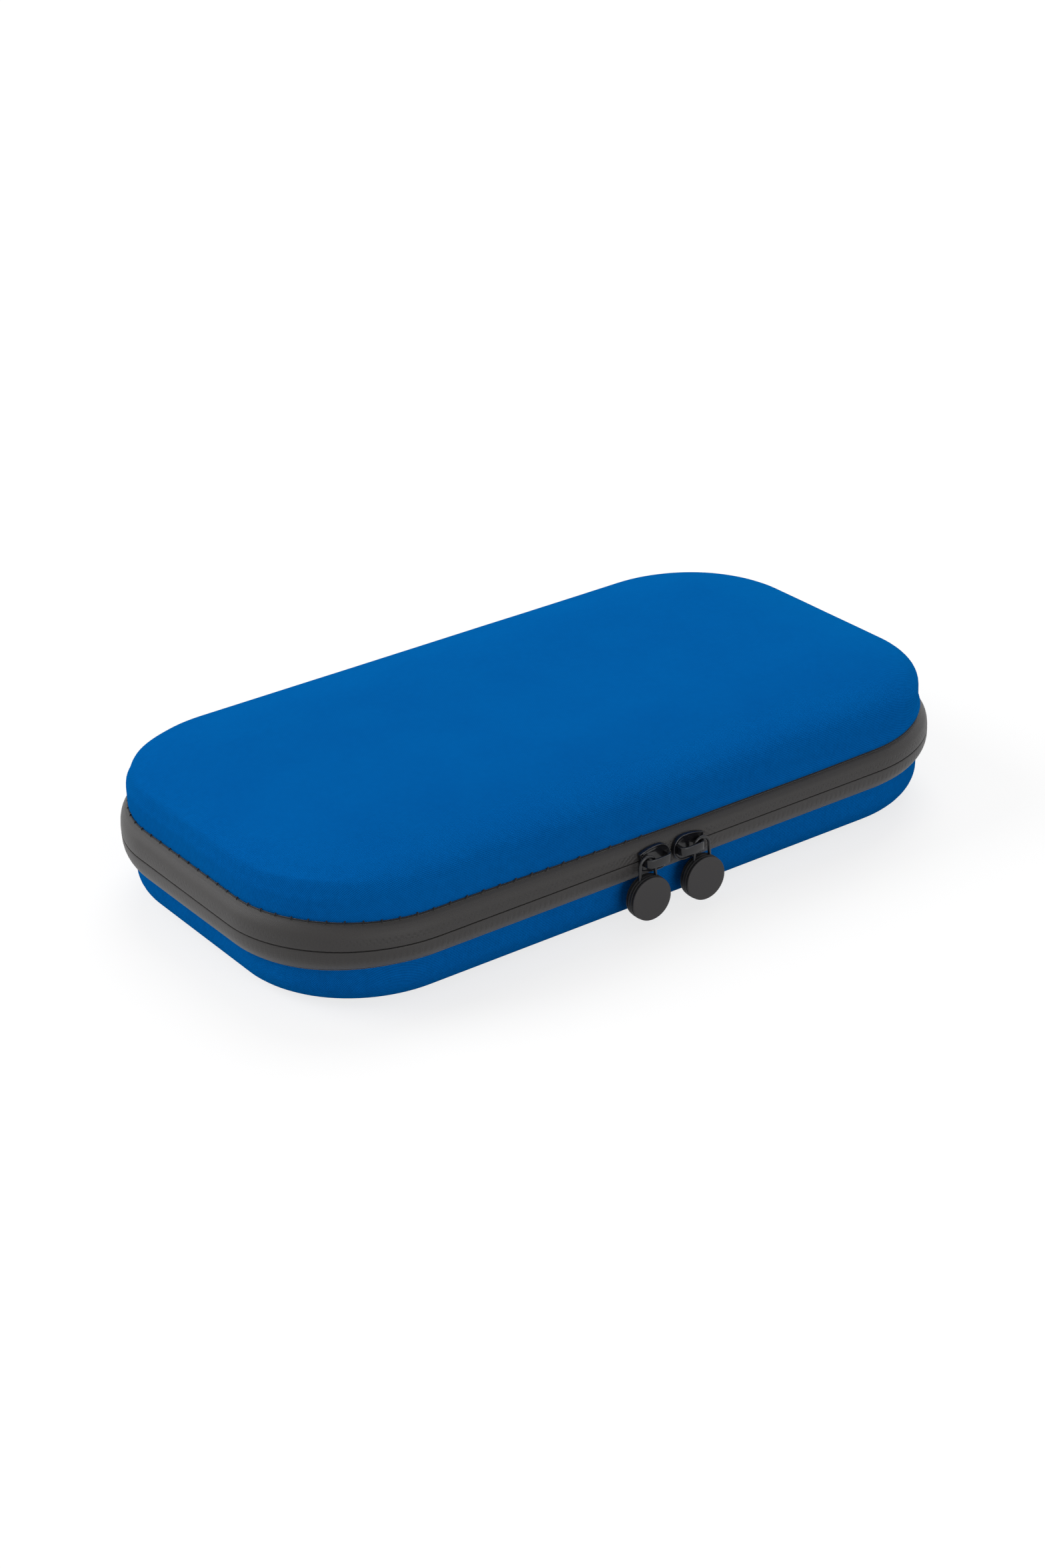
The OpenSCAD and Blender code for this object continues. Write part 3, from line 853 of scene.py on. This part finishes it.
class CASE_OT_zip_band(Operator):
    """Coated zip tapes, the hinge strip across the back, and the nylon coils"""

    bl_idname = "case.zip_band"
    bl_label = "Zip band"

    def execute(self, context):
        shape = context.scene.case_shape
        rim = case_rim()
        start = HINGE_HALF + 0.3 * MM
        for body, wall, width, side in HALVES:
            bm, _ = carry(tape_section(shape, wall, width, side), rim, shape, start, closed=True)
            map_path(bm, rim)
            self.sew_down(bm, rim, width, side)
            tape = finish_mesh(bm, body + "_tape", body + "_zip_tape", sharp=50)
            dress(tape, body, "zip_tape", body + "_zip_tape")
            self.coil(body, side, start, shape, rim)
        self.hinge(shape, rim)
        return {"FINISHED"}

    def sew_down(self, bm, rim, width, side):
        """Gives a tape its hand-sewn width, and draws the lid's tape in at its sewn edge"""
        drawn = 0.45 * MM
        tuck = 0.35 * MM
        for vert in bm.verts:
            if side > 0:
                near_edge = smooth(0.6 * width, width, vert.co.z - ZIP_Z)
                inwards = (rim.nearest(vert.co) - vert.co.xy).normalized()
                vert.co.xy += inwards * (drawn + tuck * tucked(vert.co)) * near_edge
            vert.co.z = ZIP_Z + (vert.co.z - ZIP_Z) * sewn_share(vert.co, side)

    def coil(self, body, side, start, shape, rim):
        """One row of the interlocking coil, wound behind its tape"""
        low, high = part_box(body + "_zip_coil")
        near, far = sorted((abs(low.z - ZIP_Z), abs(high.z - ZIP_Z)))
        front = low.x + CASE_L / 2
        thick = 1.7 * MM
        wire = 0.33 * MM
        middle = (near + far) / 2
        reach = (far - near) / 2 - wire
        turns = int((rim.total - 2 * start) / shape.coil_pitch)
        points = 8
        path = []
        for i in range(turns * points):
            a = 2 * math.pi * i / points
            inset = front + thick / 2 + (thick / 2 - wire) * math.cos(a)
            z = side * (middle + reach * math.sin(a))
            path.append(rim.point(start + shape.coil_pitch * i / points, inset, z))
        row = strand(body + "_coil", [path], wire, "coil_nylon")
        dress(row, body, "zip_coil", body + "_zip_coil")

    def hinge(self, shape, rim):
        """The strip that joins both halves at the back and bends between them"""
        steps = 20
        bulging = 0.97
        outer = points_at((BASE_INSET, -BASE_TAPE_W))
        for i in range(-steps, steps + 1):
            inset, width = (LID_INSET, LID_TAPE_W) if i > 0 else (BASE_INSET, BASE_TAPE_W)
            share = bulging * abs(i) / steps
            z = bulging * width * i / steps
            outer.append(Vector(((inset - shape.tape_t) * share ** 3, z)))
        outer += points_at((LID_INSET, LID_TAPE_W))
        inner = [Vector((p.x + shape.tape_t, p.y)) for p in reversed(outer[1:-1])]
        bm = bmesh.new()
        verts, edges, _ = ring(bm, outer + inner, True)
        bmesh.ops.translate(bm, vec=(HINGE_HALF, 0, 0), verts=verts)
        last = run(bm, edges, Vector((-2 * HINGE_HALF, 0, 0)), 2 * step_count(HINGE_HALF))
        for loop in (edges, last):
            bmesh.ops.contextual_create(bm, geom=loop)
        bmesh.ops.recalc_face_normals(bm, faces=bm.faces)
        map_path(bm, rim)
        strip = finish_mesh(bm, "hinge_tape", "hinge_tape", sharp=50)
        back = CASE_W / 2
        bend = 4 * MM
        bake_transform(strip, "base", "lid", start=(0, back, ZIP_Z - bend), end=(0, back, ZIP_Z + bend))
        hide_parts("hinge_strip")


class CASE_OT_sewing(Operator):
    """Bindings inside the rims and the sewing along both seams"""

    bl_idname = "case.sewing"
    bl_label = "Bindings and sewing"

    def execute(self, context):
        shape = context.scene.case_shape
        rim = case_rim()
        points = 480
        sunk = 0.02 * MM
        above = 0.16 * MM
        seam_r = 0.34 * MM
        stitch_r = 0.27 * MM
        for body, wall, width, side in HALVES:
            self.binding(body, wall, side, shape, rim)
            line = [self.beside(rim, rim.total * t, wall + sunk, width, above, side)
                    for t in shares(points)[:-1]]
            seam = strand(body + "_seam_line", [line], seam_r, "sewing_thread", closed=True)
            dress(seam, body, "thread", body + "_seam_thread")
        stitches = strand("lid_stitches", self.stitches(rim, shape), stitch_r, "sewing_thread")
        dress(stitches, "lid", "thread")
        return {"FINISHED"}

    def beside(self, rim, distance, inset, width, above, side):
        """Point beside a tape's sewn edge"""
        share = sewn_share(rim.point(distance, inset, 0), side)
        return rim.point(distance, inset, side * (width * share + above))

    def stitches(self, rim, shape):
        """Short stitches over the seam, upright at the left end and slanted along the front. There
        are none where the cloth hides them."""
        climb = ((-1.0, -0.10, 0.0), (-0.5, -0.26, 0.35), (0.4, -0.16, 0.8), (1.0, 0.30, 1.0))
        count = round(rim.total / shape.stitch_pitch)
        paths = []
        for i in range(count):
            middle = rim.total * (i + 0.5) / count
            place = rim.point(middle, 0, 0)
            if tucked(place) > 0.6:
                continue
            slant = smooth(-110 * MM, -70 * MM, place.x) * smooth(0, -50 * MM, place.y)
            lean = 0.1 + 0.6 * slant + 0.3 * noise.noise(Vector((i * 3.7, 1.3, 0)))
            top = 0.85 + 0.3 * noise.noise(Vector((i * 2.3, 4.1, 0)))
            path = []
            for along, inset, rise in climb:
                distance = middle + lean * along * MM
                above = top * rise * MM
                path.append(self.beside(rim, distance, LID_INSET + inset * MM, LID_TAPE_W, above, 1))
            paths.append(path)
        return paths

    def binding(self, body, wall, side, shape, rim):
        """Tape folded over the rim and sewn down on the lining"""
        low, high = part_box(body + "_binding")
        edge, reach = sorted((abs(low.z - ZIP_Z), abs(high.z - ZIP_Z)))
        inner = wall + LINING_DEPTH + shape.lining_t
        thick = RIM_GAP - edge
        eased = 0.3 * thick
        points = points_at((wall, RIM_GAP), (wall, edge + eased), (wall + eased, edge))
        points += [Vector((wall + (inner - wall) * t, edge)) for t in shares(4)[1:-1]]
        points += arc_points((inner, RIM_GAP), thick, -90, 0, 5)
        points += [Vector((inner + thick, RIM_GAP + (reach - RIM_GAP) * t)) for t in shares(6)[1:-1]]
        points += points_at((inner + 0.8 * thick, reach - 0.1 * thick), (inner + eased, reach))
        points += points_at((inner, reach - 0.2 * thick), (inner, RIM_GAP))
        bm, _ = carry([Vector((p.x, side * p.y)) for p in points], rim, shape, closed=True)
        map_path(bm, rim)
        tape = finish_mesh(bm, body + "_edge_tape", "ribbed_binding", sharp=50)
        dress(tape, body, "binding_tape", body + "_binding")


def drawn_out(outline, axis, low, high, soft, segments=2):
    """A bmesh of a flat outline drawn out along x or z, with its edges rounded"""
    along_x = axis == "x"
    bm = bmesh.new()
    corners = [(low, p.x, p.y) if along_x else (p.x, p.y, low) for p in outline]
    face = bm.faces.new([bm.verts.new(co) for co in corners])
    pull_out(bm, face, Vector((along_x, 0, not along_x)) * (high - low))
    if soft:
        sharp = [e for e in bm.edges if e.calc_face_angle(0) > math.radians(50)]
        round_off(bm, sharp, soft, segments)
    return bm


def pull_out(bm, face, way, keep=False):
    """Extrudes a face, and keeps the first one where the solid needs it"""
    made = bmesh.ops.extrude_face_region(bm, geom=[face], use_keep_orig=keep)["geom"]
    bmesh.ops.translate(bm, vec=way, verts=only(bmesh.types.BMVert, made))
    bmesh.ops.recalc_face_normals(bm, faces=bm.faces)


def round_off(bm, edges, width, segments=2):
    """Bevels edges round"""
    bmesh.ops.bevel(bm, geom=edges, offset=width, offset_type="OFFSET", segments=segments,
                    profile=0.5, affect="EDGES", material=-1, clamp_overlap=True)


def slab(outline, low, high, name, finish, soft):
    """A flat outline drawn out from side to side, as a piece"""
    bm = drawn_out(outline, "x", low, high, soft)
    map_points(bm, lambda vert: vert.co.xy)
    return finish_mesh(bm, name, finish)


def upright_box(y_low, y_high, z_low, z_high):
    """The four corners of a strip's section"""
    return points_at((y_low, z_low), (y_high, z_low), (y_high, z_high), (y_low, z_high))


class CASE_OT_inside(Operator):
    """Retaining strap, its hook and loop patches, the net pocket and its elastic hem"""

    bl_idname = "case.inside"
    bl_label = "Inside"

    def execute(self, context):
        shape = context.scene.case_shape
        self.straps()
        self.net(shape)
        return {"FINISHED"}

    def straps(self):
        """Two halves of a webbing strap that overlap on hook and loop patches. The back one steps
        up over the front one."""
        front_low, front_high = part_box("strap_front")
        back_low, back_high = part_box("strap_back")
        top = front_high.z
        thick = top - front_low.z
        half = front_high.x
        soft = 0.4 * MM
        pile_soft = 0.25 * MM
        stitch_r = 0.25 * MM
        flat = upright_box(front_low.y, front_high.y, FLOOR_Z, FLOOR_Z + thick)
        front = slab(flat, -half, half, "strap_front_web", "strap_webbing", soft)
        dress(front, "base", "webbing", "strap_front")
        past = 1 * MM
        fold = front_high.y + past
        rise = back_high.z - thick - FLOOR_Z
        foot = fold + 3 * rise
        fold_steps = 8
        under = points_at((back_high.y, FLOOR_Z))
        for t in shares(fold_steps):
            under.append(Vector((foot + (fold - foot) * t, FLOOR_Z + rise * smooth(0, 1, t))))
        under += points_at((back_low.y, FLOOR_Z + rise))
        over = [Vector((p.x, p.y + thick)) for p in reversed(under)]
        back = slab(under + over, -half, half, "strap_back_web", "strap_webbing", soft)
        dress(back, "base", "webbing", "strap_back")
        for word in ("loop", "hook"):
            node = f"strap_{word}_patch"
            low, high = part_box(node)
            corners = upright_box(low.y, high.y, low.z, high.z)
            patch = slab(corners, low.x, high.x, node + "_pile", word + "_pile", pile_soft)
            dress(patch, "base", word + "_tape", node)
        margin = 3 * MM
        boxed = 15 * MM
        seams = []
        for end, way in ((front_low.y, 1), (back_high.y, -1)):
            seams += self.box_stitch(end + way * margin, end + way * boxed, half - margin, top)
        sewing = strand("strap_stitches", seams, stitch_r, "sewing_thread")
        dress(sewing, "base", "thread")

    def box_stitch(self, near, far, half, z):
        """A sewn box with a cross in it, as separate stitches"""
        flat = ((-half, near), (half, near), (half, far), (-half, far))
        a, b, c, d = (Vector((x, y, z)) for x, y in flat)
        pitch = 2.6 * MM
        gap = 0.12
        lift = Vector((0, 0, 0.12 * MM))
        paths = []
        for start, end in ((a, b), (b, c), (c, d), (d, a), (a, c), (b, d)):
            count = max(2, round((end - start).length / pitch))
            for i in range(count):
                first = start.lerp(end, (i + gap) / count)
                last = start.lerp(end, (i + 1 - gap) / count)
                raised = [first.lerp(last, share) + lift for share in (0.2, 0.8)]
                paths.append([first - lift] + raised + [last - lift])
        return paths

    def net(self, shape):
        """Knitted net stretched across the lid, with its elastic front hem"""
        low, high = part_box("net_pocket")
        hem_low, hem_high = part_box("pocket_hem")
        rim = case_rim()
        inset = LID_INSET + LINING_DEPTH + shape.lining_t
        z = (low.z + high.z) / 2
        pitch = shape.net_pitch
        swing = 0.52 * pitch
        weave = 0.12 * MM
        yarn_r = 0.2 * MM
        paths = []
        for i in range(int((high.y - low.y) / pitch)):
            row = low.y + pitch * (i + 0.5)
            half = self.reach(rim, inset, row)
            path = []
            for k in range(int(2 * half / (pitch / 2)) + 1):
                y = row + (swing if (k + i) % 2 else -swing)
                lift = weave if k % 2 else -weave
                path.append(Vector((-half + pitch / 2 * k, min(max(y, low.y), high.y), z + lift)))
            paths.append(path)
        net = strand("pocket_net", paths, yarn_r, "knitted_net", resolution=0)
        dress(net, "lid", "net", "net_pocket")
        middle = (hem_low.z + hem_high.z) / 2
        half = (hem_high.z - hem_low.z) / 2
        section = arc_points((hem_low.y + half, middle), half, 90, 270, 8)
        section += arc_points((hem_high.y - half, middle), half, -90, 90, 8)
        hem = slab(section, hem_low.x, hem_high.x, "pocket_elastic", "woven_elastic", 0)
        dress(hem, "lid", "elastic", "pocket_hem")

    def reach(self, rim, inset, y):
        """Half the width between the lid's linings at a place from front to back"""
        over = abs(y) - rim.run_y
        radius = rim.corner - inset
        if over <= 0:
            return rim.run_x + radius
        return rim.run_x + math.sqrt(max(radius * radius - over * over, 0))


class SliderPlan:
    """Places on a slider: x from nose to tail, y outwards, z up from the zip line"""

    def __init__(self, name, side):
        low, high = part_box(name + "_slider")
        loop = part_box(name + "_wire_loop")
        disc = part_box(name + "_disc_front")
        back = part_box(name + "_disc_back")
        crest = -CASE_W / 2
        flattened = 1.6
        self.nose = min(abs(low.x), abs(high.x))
        self.length = high.x - low.x
        self.height = high.z - low.z
        self.face = 1.7 * MM
        self.plate_t = 1.4 * MM
        self.reach = crest - low.y
        self.depth = high.y - crest
        self.loop_x = abs(loop[0].x + loop[1].x) / 2 - self.nose
        head_r = (loop[1].y - loop[0].y) / 2
        self.wire_r = head_r / flattened
        self.wire_y = crest - (back[1].y + disc[0].y) / 2
        self.loop_r = (loop[1].x - loop[0].x) / 2 - head_r
        self.loop_z = loop[1].z - self.loop_r - self.wire_r - ZIP_Z
        self.disc_r = (disc[1].z - disc[0].z) / 2
        self.disc_z = (disc[1].z + disc[0].z) / 2 - ZIP_Z
        self.disc_t = back[1].y - disc[0].y
        flipped = Matrix.Diagonal((side, -1, 1, 1))
        to_nose = Matrix.Translation((self.nose, 0, 0))
        self.matrix = Matrix.Translation((0, crest, ZIP_Z)) @ flipped @ to_nose

    def put(self, bm):
        """Moves a bmesh from the slider's own axes to its place on the case"""
        bmesh.ops.transform(bm, matrix=self.matrix, verts=bm.verts)
        bmesh.ops.recalc_face_normals(bm, faces=bm.faces)


class CASE_OT_sliders(Operator):
    """Zip sliders with their arches, wire loops and round pulls"""

    bl_idname = "case.sliders"
    bl_label = "Sliders and pulls"

    def execute(self, context):
        for name, side in SIDES.items():
            plan = SliderPlan(name, side)
            self.casting(name, plan)
            self.wire(name, plan)
            self.disc(name, plan, 1)
            self.disc(name, plan, -1)
        return {"FINISHED"}

    def shield(self, plan):
        """Outline of the front plate: round nose, hollow flanks, tips and a hollow tail"""
        nose_r = plan.height / 2
        tip = 0.35 * plan.height
        flank = nose_r + 0.3 * MM
        hollow = 0.42 * MM
        tail_hollow = 0.45 * MM
        outline = arc_points((nose_r, 0), nose_r, 262, 98, 18)
        outline += bow((flank, nose_r), (plan.length, tip), hollow, 8)
        outline += bow((plan.length, tip), (plan.length, -tip), -tail_hollow, 6)[1:-1]
        outline += bow((plan.length, -tip), (flank, -nose_r), hollow, 8)
        return outline

    def casting(self, name, plan):
        """Front plate with a raised rim, arch, neck and back plate in one casting. The plate's
        dish is a list of steps inwards and their rise, in millimetres."""
        dish = ((0.32, 0), (0.22, -0.26), (0.45, -0.26), (0.8, -0.2))
        soft = 0.2 * MM
        bm = bmesh.new()
        front = bm.faces.new([bm.verts.new((p.x, plan.face, p.y)) for p in self.shield(plan)])
        pull_out(bm, front, (0, -plan.plate_t, 0), keep=True)
        front = max(bm.faces, key=lambda f: f.calc_center_median().y)
        for inwards, rise in dish:
            bmesh.ops.inset_region(bm, faces=[front], thickness=inwards * MM, depth=rise * MM,
                                   use_boundary=True, use_even_offset=True)
        rim = [e for e in bm.edges if all(abs(v.co.y - plan.face) < TINY for v in e.verts)]
        rim = [e for e in rim if e.calc_face_angle(0) > math.radians(30)]
        round_off(bm, rim, soft)
        merged = bmesh.new()
        for part in (bm, self.arch(plan), self.neck(plan)):
            piece = bpy.data.meshes.new("part")
            part.to_mesh(piece)
            part.free()
            merged.from_mesh(piece)
            bpy.data.meshes.remove(piece)
        plan.put(merged)
        slider = finish_mesh(merged, name + "_zip_slider", "painted_metal", sharp=35)
        dress(slider, name + "_slider", "black_metal", name + "_slider")

    def arch(self, plan):
        """Bent strap, strongly rounded seen from above, that the wire hangs on"""
        foot = 1.5 * MM
        band = 1.1 * MM
        half = 5.1 * MM
        breadth = 3 * MM
        soft = 0.24 * MM
        rooted = 0.8 * MM
        middle = plan.length / 2
        root = plan.face - rooted
        top = plan.reach
        outer_r = 2.3 * MM
        inner_r = 0.9 * MM
        sag = 0.25 * MM
        eased = 12
        near = middle - half
        far = middle + half
        level = top - sag
        outer = points_at((near, root))
        outer += arc_points((near + outer_r, level - outer_r), outer_r, 180, 90 + eased, 8)
        inner = points_at((far - foot, root))
        inner += arc_points((far - foot - inner_r, top - band - inner_r), inner_r, 0, 90, 5)
        start = outer[-1]
        end = (2 * middle - start.x, start.y)
        outline = outer + bow(start, end, top - start.y, 8)[1:-1] + mirrored(outer, middle)
        outline += inner + mirrored(inner, middle)
        return drawn_out(outline, "z", -breadth / 2, breadth / 2, soft, 3)

    def neck(self, plan):
        """Neck between the tapes and the plate behind them"""
        plate_t = 1.0 * MM
        half = 3 * MM
        thin = 0.1 * MM
        soft = 0.25 * MM
        back = plate_t - plan.depth
        neck = (Vector((0.12 * plan.length, back - plate_t / 2, -thin)),
                Vector((0.42 * plan.length, plan.face - 1.0 * MM, thin)))
        plate = (Vector((0.6 * MM, -plan.depth, -half)), Vector((plan.length, back, half)))
        bm = bmesh.new()
        for low, high in (neck, plate):
            cube = bmesh.ops.create_cube(bm, size=1)["verts"]
            bmesh.ops.scale(bm, vec=high - low, verts=cube)
            bmesh.ops.translate(bm, vec=(low + high) / 2, verts=cube)
        edges = [e for e in bm.edges if e.calc_length() > 0.9 * MM and min(v.co.y for v in e.verts) < back]
        round_off(bm, edges, soft)
        return bm

    def wire(self, name, plan):
        """Wire bent over the arch's tail foot, both legs held in the disc"""
        held = 0.8 * MM
        low = plan.disc_z + held
        bent = points_at((plan.loop_x - plan.loop_r, low))
        bent += arc_points((plan.loop_x, plan.loop_z), plan.loop_r, 180, 0, 16)
        bent += points_at((plan.loop_x + plan.loop_r, low))
        path = [plan.matrix @ Vector((p.x, plan.wire_y, p.y)) for p in bent]
        loop = strand(name + "_wire", [path], plan.wire_r, "painted_metal", resolution=5)
        dress(loop, name + "_pull", "black_metal", name + "_wire_loop")

    def disc(self, name, plan, out):
        """Half of the pull: a bead, a groove and a face plate with an eased edge. Bead and groove
        are lists of places in from the rim and out from the middle, in millimetres."""
        half = plan.disc_t / 2
        rim = plan.disc_r
        bead = ((0.5, 0), (0.12, 0.18), (0, 0.4), (0, 0.8), (0.12, 1.0))
        groove = ((0.55, 1.1), (0.6, 1.25), (0.5, 1.4), (0.14, 1.5))
        dome = 0.1 * MM
        eased = 0.3 * MM
        plate_edge = (rim - 0.44 * MM, half - 0.4 * MM)
        plate_t = 0.25 * MM
        around = 64
        section = [Vector((0, 0))]
        section += [Vector((rim - inset * MM, out_by * MM)) for inset, out_by in bead + groove]
        section += arc_points(plate_edge, eased, 0, 90, 4)
        section += [Vector((rim * t, half - dome * t * t)) for t in (0.93, 0.7, 0.4, 0)]
        bm = bmesh.new()
        verts = [bm.verts.new((p.x, plan.wire_y + out * p.y, 0)) for p in section]
        edges = [bm.edges.new(pair) for pair in zip(verts, verts[1:])]
        bmesh.ops.spin(bm, geom=verts + edges, cent=(0, 0, 0), axis=(0, 1, 0), dvec=(0, 0, 0),
                       angle=2 * math.pi, steps=around, use_merge=True, use_duplicate=False)
        bmesh.ops.remove_doubles(bm, verts=bm.verts, dist=TINY)
        bmesh.ops.translate(bm, vec=(plan.loop_x, 0, plan.disc_z), verts=bm.verts)
        for face in bm.faces:
            middle = face.calc_center_median()
            face.material_index = int(abs(middle.y - plan.wire_y) < half - plate_t)
        plan.put(bm)
        word = "front" if out > 0 else "back"
        pull = finish_mesh(bm, f"{name}_pull_{word}", "pull_face", "pull_rim", sharp=35)
        dress(pull, name + "_pull", "pull_rubber", f"{name}_disc_{word}")


class CASE_OT_stage(Operator):
    """Pale floor, soft light and the camera"""

    bl_idname = "case.stage"
    bl_label = "Stage"

    def execute(self, context):
        stage = context.scene.case_stage
        self.camera(context, stage)
        self.floor()
        lamps = (("back_left_light", 1.65, (-0.615, 0.615, 0.5)),
                 ("back_right_light", 1.25, (0.45, 0.45, 0.77)),
                 ("front_light", 1.15, (0, -0.985, 0.17)))
        for name, strength, place in lamps:
            self.lamp(name, strength * stage.lamps, Vector(place))
        self.world(context, stage)
        context.scene.view_settings.view_transform = "Standard"
        return {"FINISHED"}

    def camera(self, context, stage):
        """The photograph's camera: a fitted direction, roll, distance and lens"""
        focal_px = 4789.08
        picture_h = 2352
        aim_x = 3.131 * MM
        aim_y = 9.692 * MM
        a, e, r = stage.azimuth, stage.elevation, stage.roll
        back = Vector((math.sin(a) * math.cos(e), -math.cos(a) * math.cos(e), math.sin(e)))
        level = Vector((0, 0, 1)).cross(back).normalized()
        upright = back.cross(level)
        right = level * math.cos(r) + upright * math.sin(r)
        up = upright * math.cos(r) - level * math.sin(r)
        target = Vector((0, 0, ZIP_Z + 5 * MM)) - right * aim_x - up * aim_y
        data = bpy.data.cameras.new("camera")
        data.sensor_fit = "VERTICAL"
        data.sensor_height = 36
        data.lens = focal_px * data.sensor_height / picture_h
        data.clip_start = 0.05
        obj = add_object("camera", data)
        facing = Matrix((right, up, back)).transposed().to_4x4()
        obj.matrix_world = Matrix.Translation(target + back * stage.distance) @ facing
        context.scene.camera = obj

    def floor(self):
        """A wide plane just below the case, white to the camera except for the shadow"""
        below = 0.2 * MM
        half_size = 4
        bm = bmesh.new()
        bmesh.ops.create_grid(bm, x_segments=2, y_segments=2, size=half_size)
        bmesh.ops.translate(bm, vec=(0, 0, -below), verts=bm.verts)
        finish_mesh(bm, "floor", "floor_paper")

    def lamp(self, name, strength, place):
        """A distant light that is wide enough for soft shadows"""
        spread = math.radians(40)
        data = bpy.data.lights.new(name, "SUN")
        data.energy = strength
        data.angle = spread
        turn_to = (-place).to_track_quat("-Z", "Y")
        add_object(name, data).matrix_world = turn_to.to_matrix().to_4x4()

    def world(self, context, stage):
        """An even sky, white where the camera or a reflection sees it"""
        g = Graph(bpy.data.worlds.new("studio"))
        strength = g.plainly_seen() * (1 - stage.sky) + stage.sky
        sky = g.add("Background", sockets={"Color": (1, 1, 1, 1), "Strength": strength})
        g.add("OutputWorld", sockets={"Surface": sky})
        context.scene.world = g.owner


class CASE_PT_panel(Panel):
    """Sizes, finishes and the steps that dress the case"""

    bl_label = "Zipped hard case"
    bl_idname = "CASE_PT_panel"
    bl_space_type = "VIEW_3D"
    bl_region_type = "UI"
    bl_category = "Hard Case"

    def draw(self, context):
        layout = self.layout
        for group in (context.scene.case_shape, context.scene.case_finish, context.scene.case_stage):
            box = layout.box()
            for name in group.__annotations__:
                box.prop(group, name)
        for step in STEPS:
            layout.operator(step.bl_idname)


STEPS = (CASE_OT_stage, CASE_OT_covers, CASE_OT_zip_band, CASE_OT_sewing, CASE_OT_inside, CASE_OT_sliders)
CLASSES = (CaseShape, CaseFinish, CaseStage) + STEPS + (CASE_PT_panel,)


def register():
    for cls in CLASSES:
        bpy.utils.register_class(cls)
    bpy.types.Scene.case_shape = PointerProperty(type=CaseShape)
    bpy.types.Scene.case_finish = PointerProperty(type=CaseFinish)
    bpy.types.Scene.case_stage = PointerProperty(type=CaseStage)


def unregister():
    del bpy.types.Scene.case_stage
    del bpy.types.Scene.case_finish
    del bpy.types.Scene.case_shape
    for cls in reversed(CLASSES):
        bpy.utils.unregister_class(cls)


def main():
    """Dresses the whole case"""
    register()
    bpy.ops.case.stage()
    bpy.ops.case.covers()
    bpy.ops.case.zip_band()
    bpy.ops.case.sewing()
    bpy.ops.case.inside()
    bpy.ops.case.sliders()


if __name__ == "__main__":
    main()
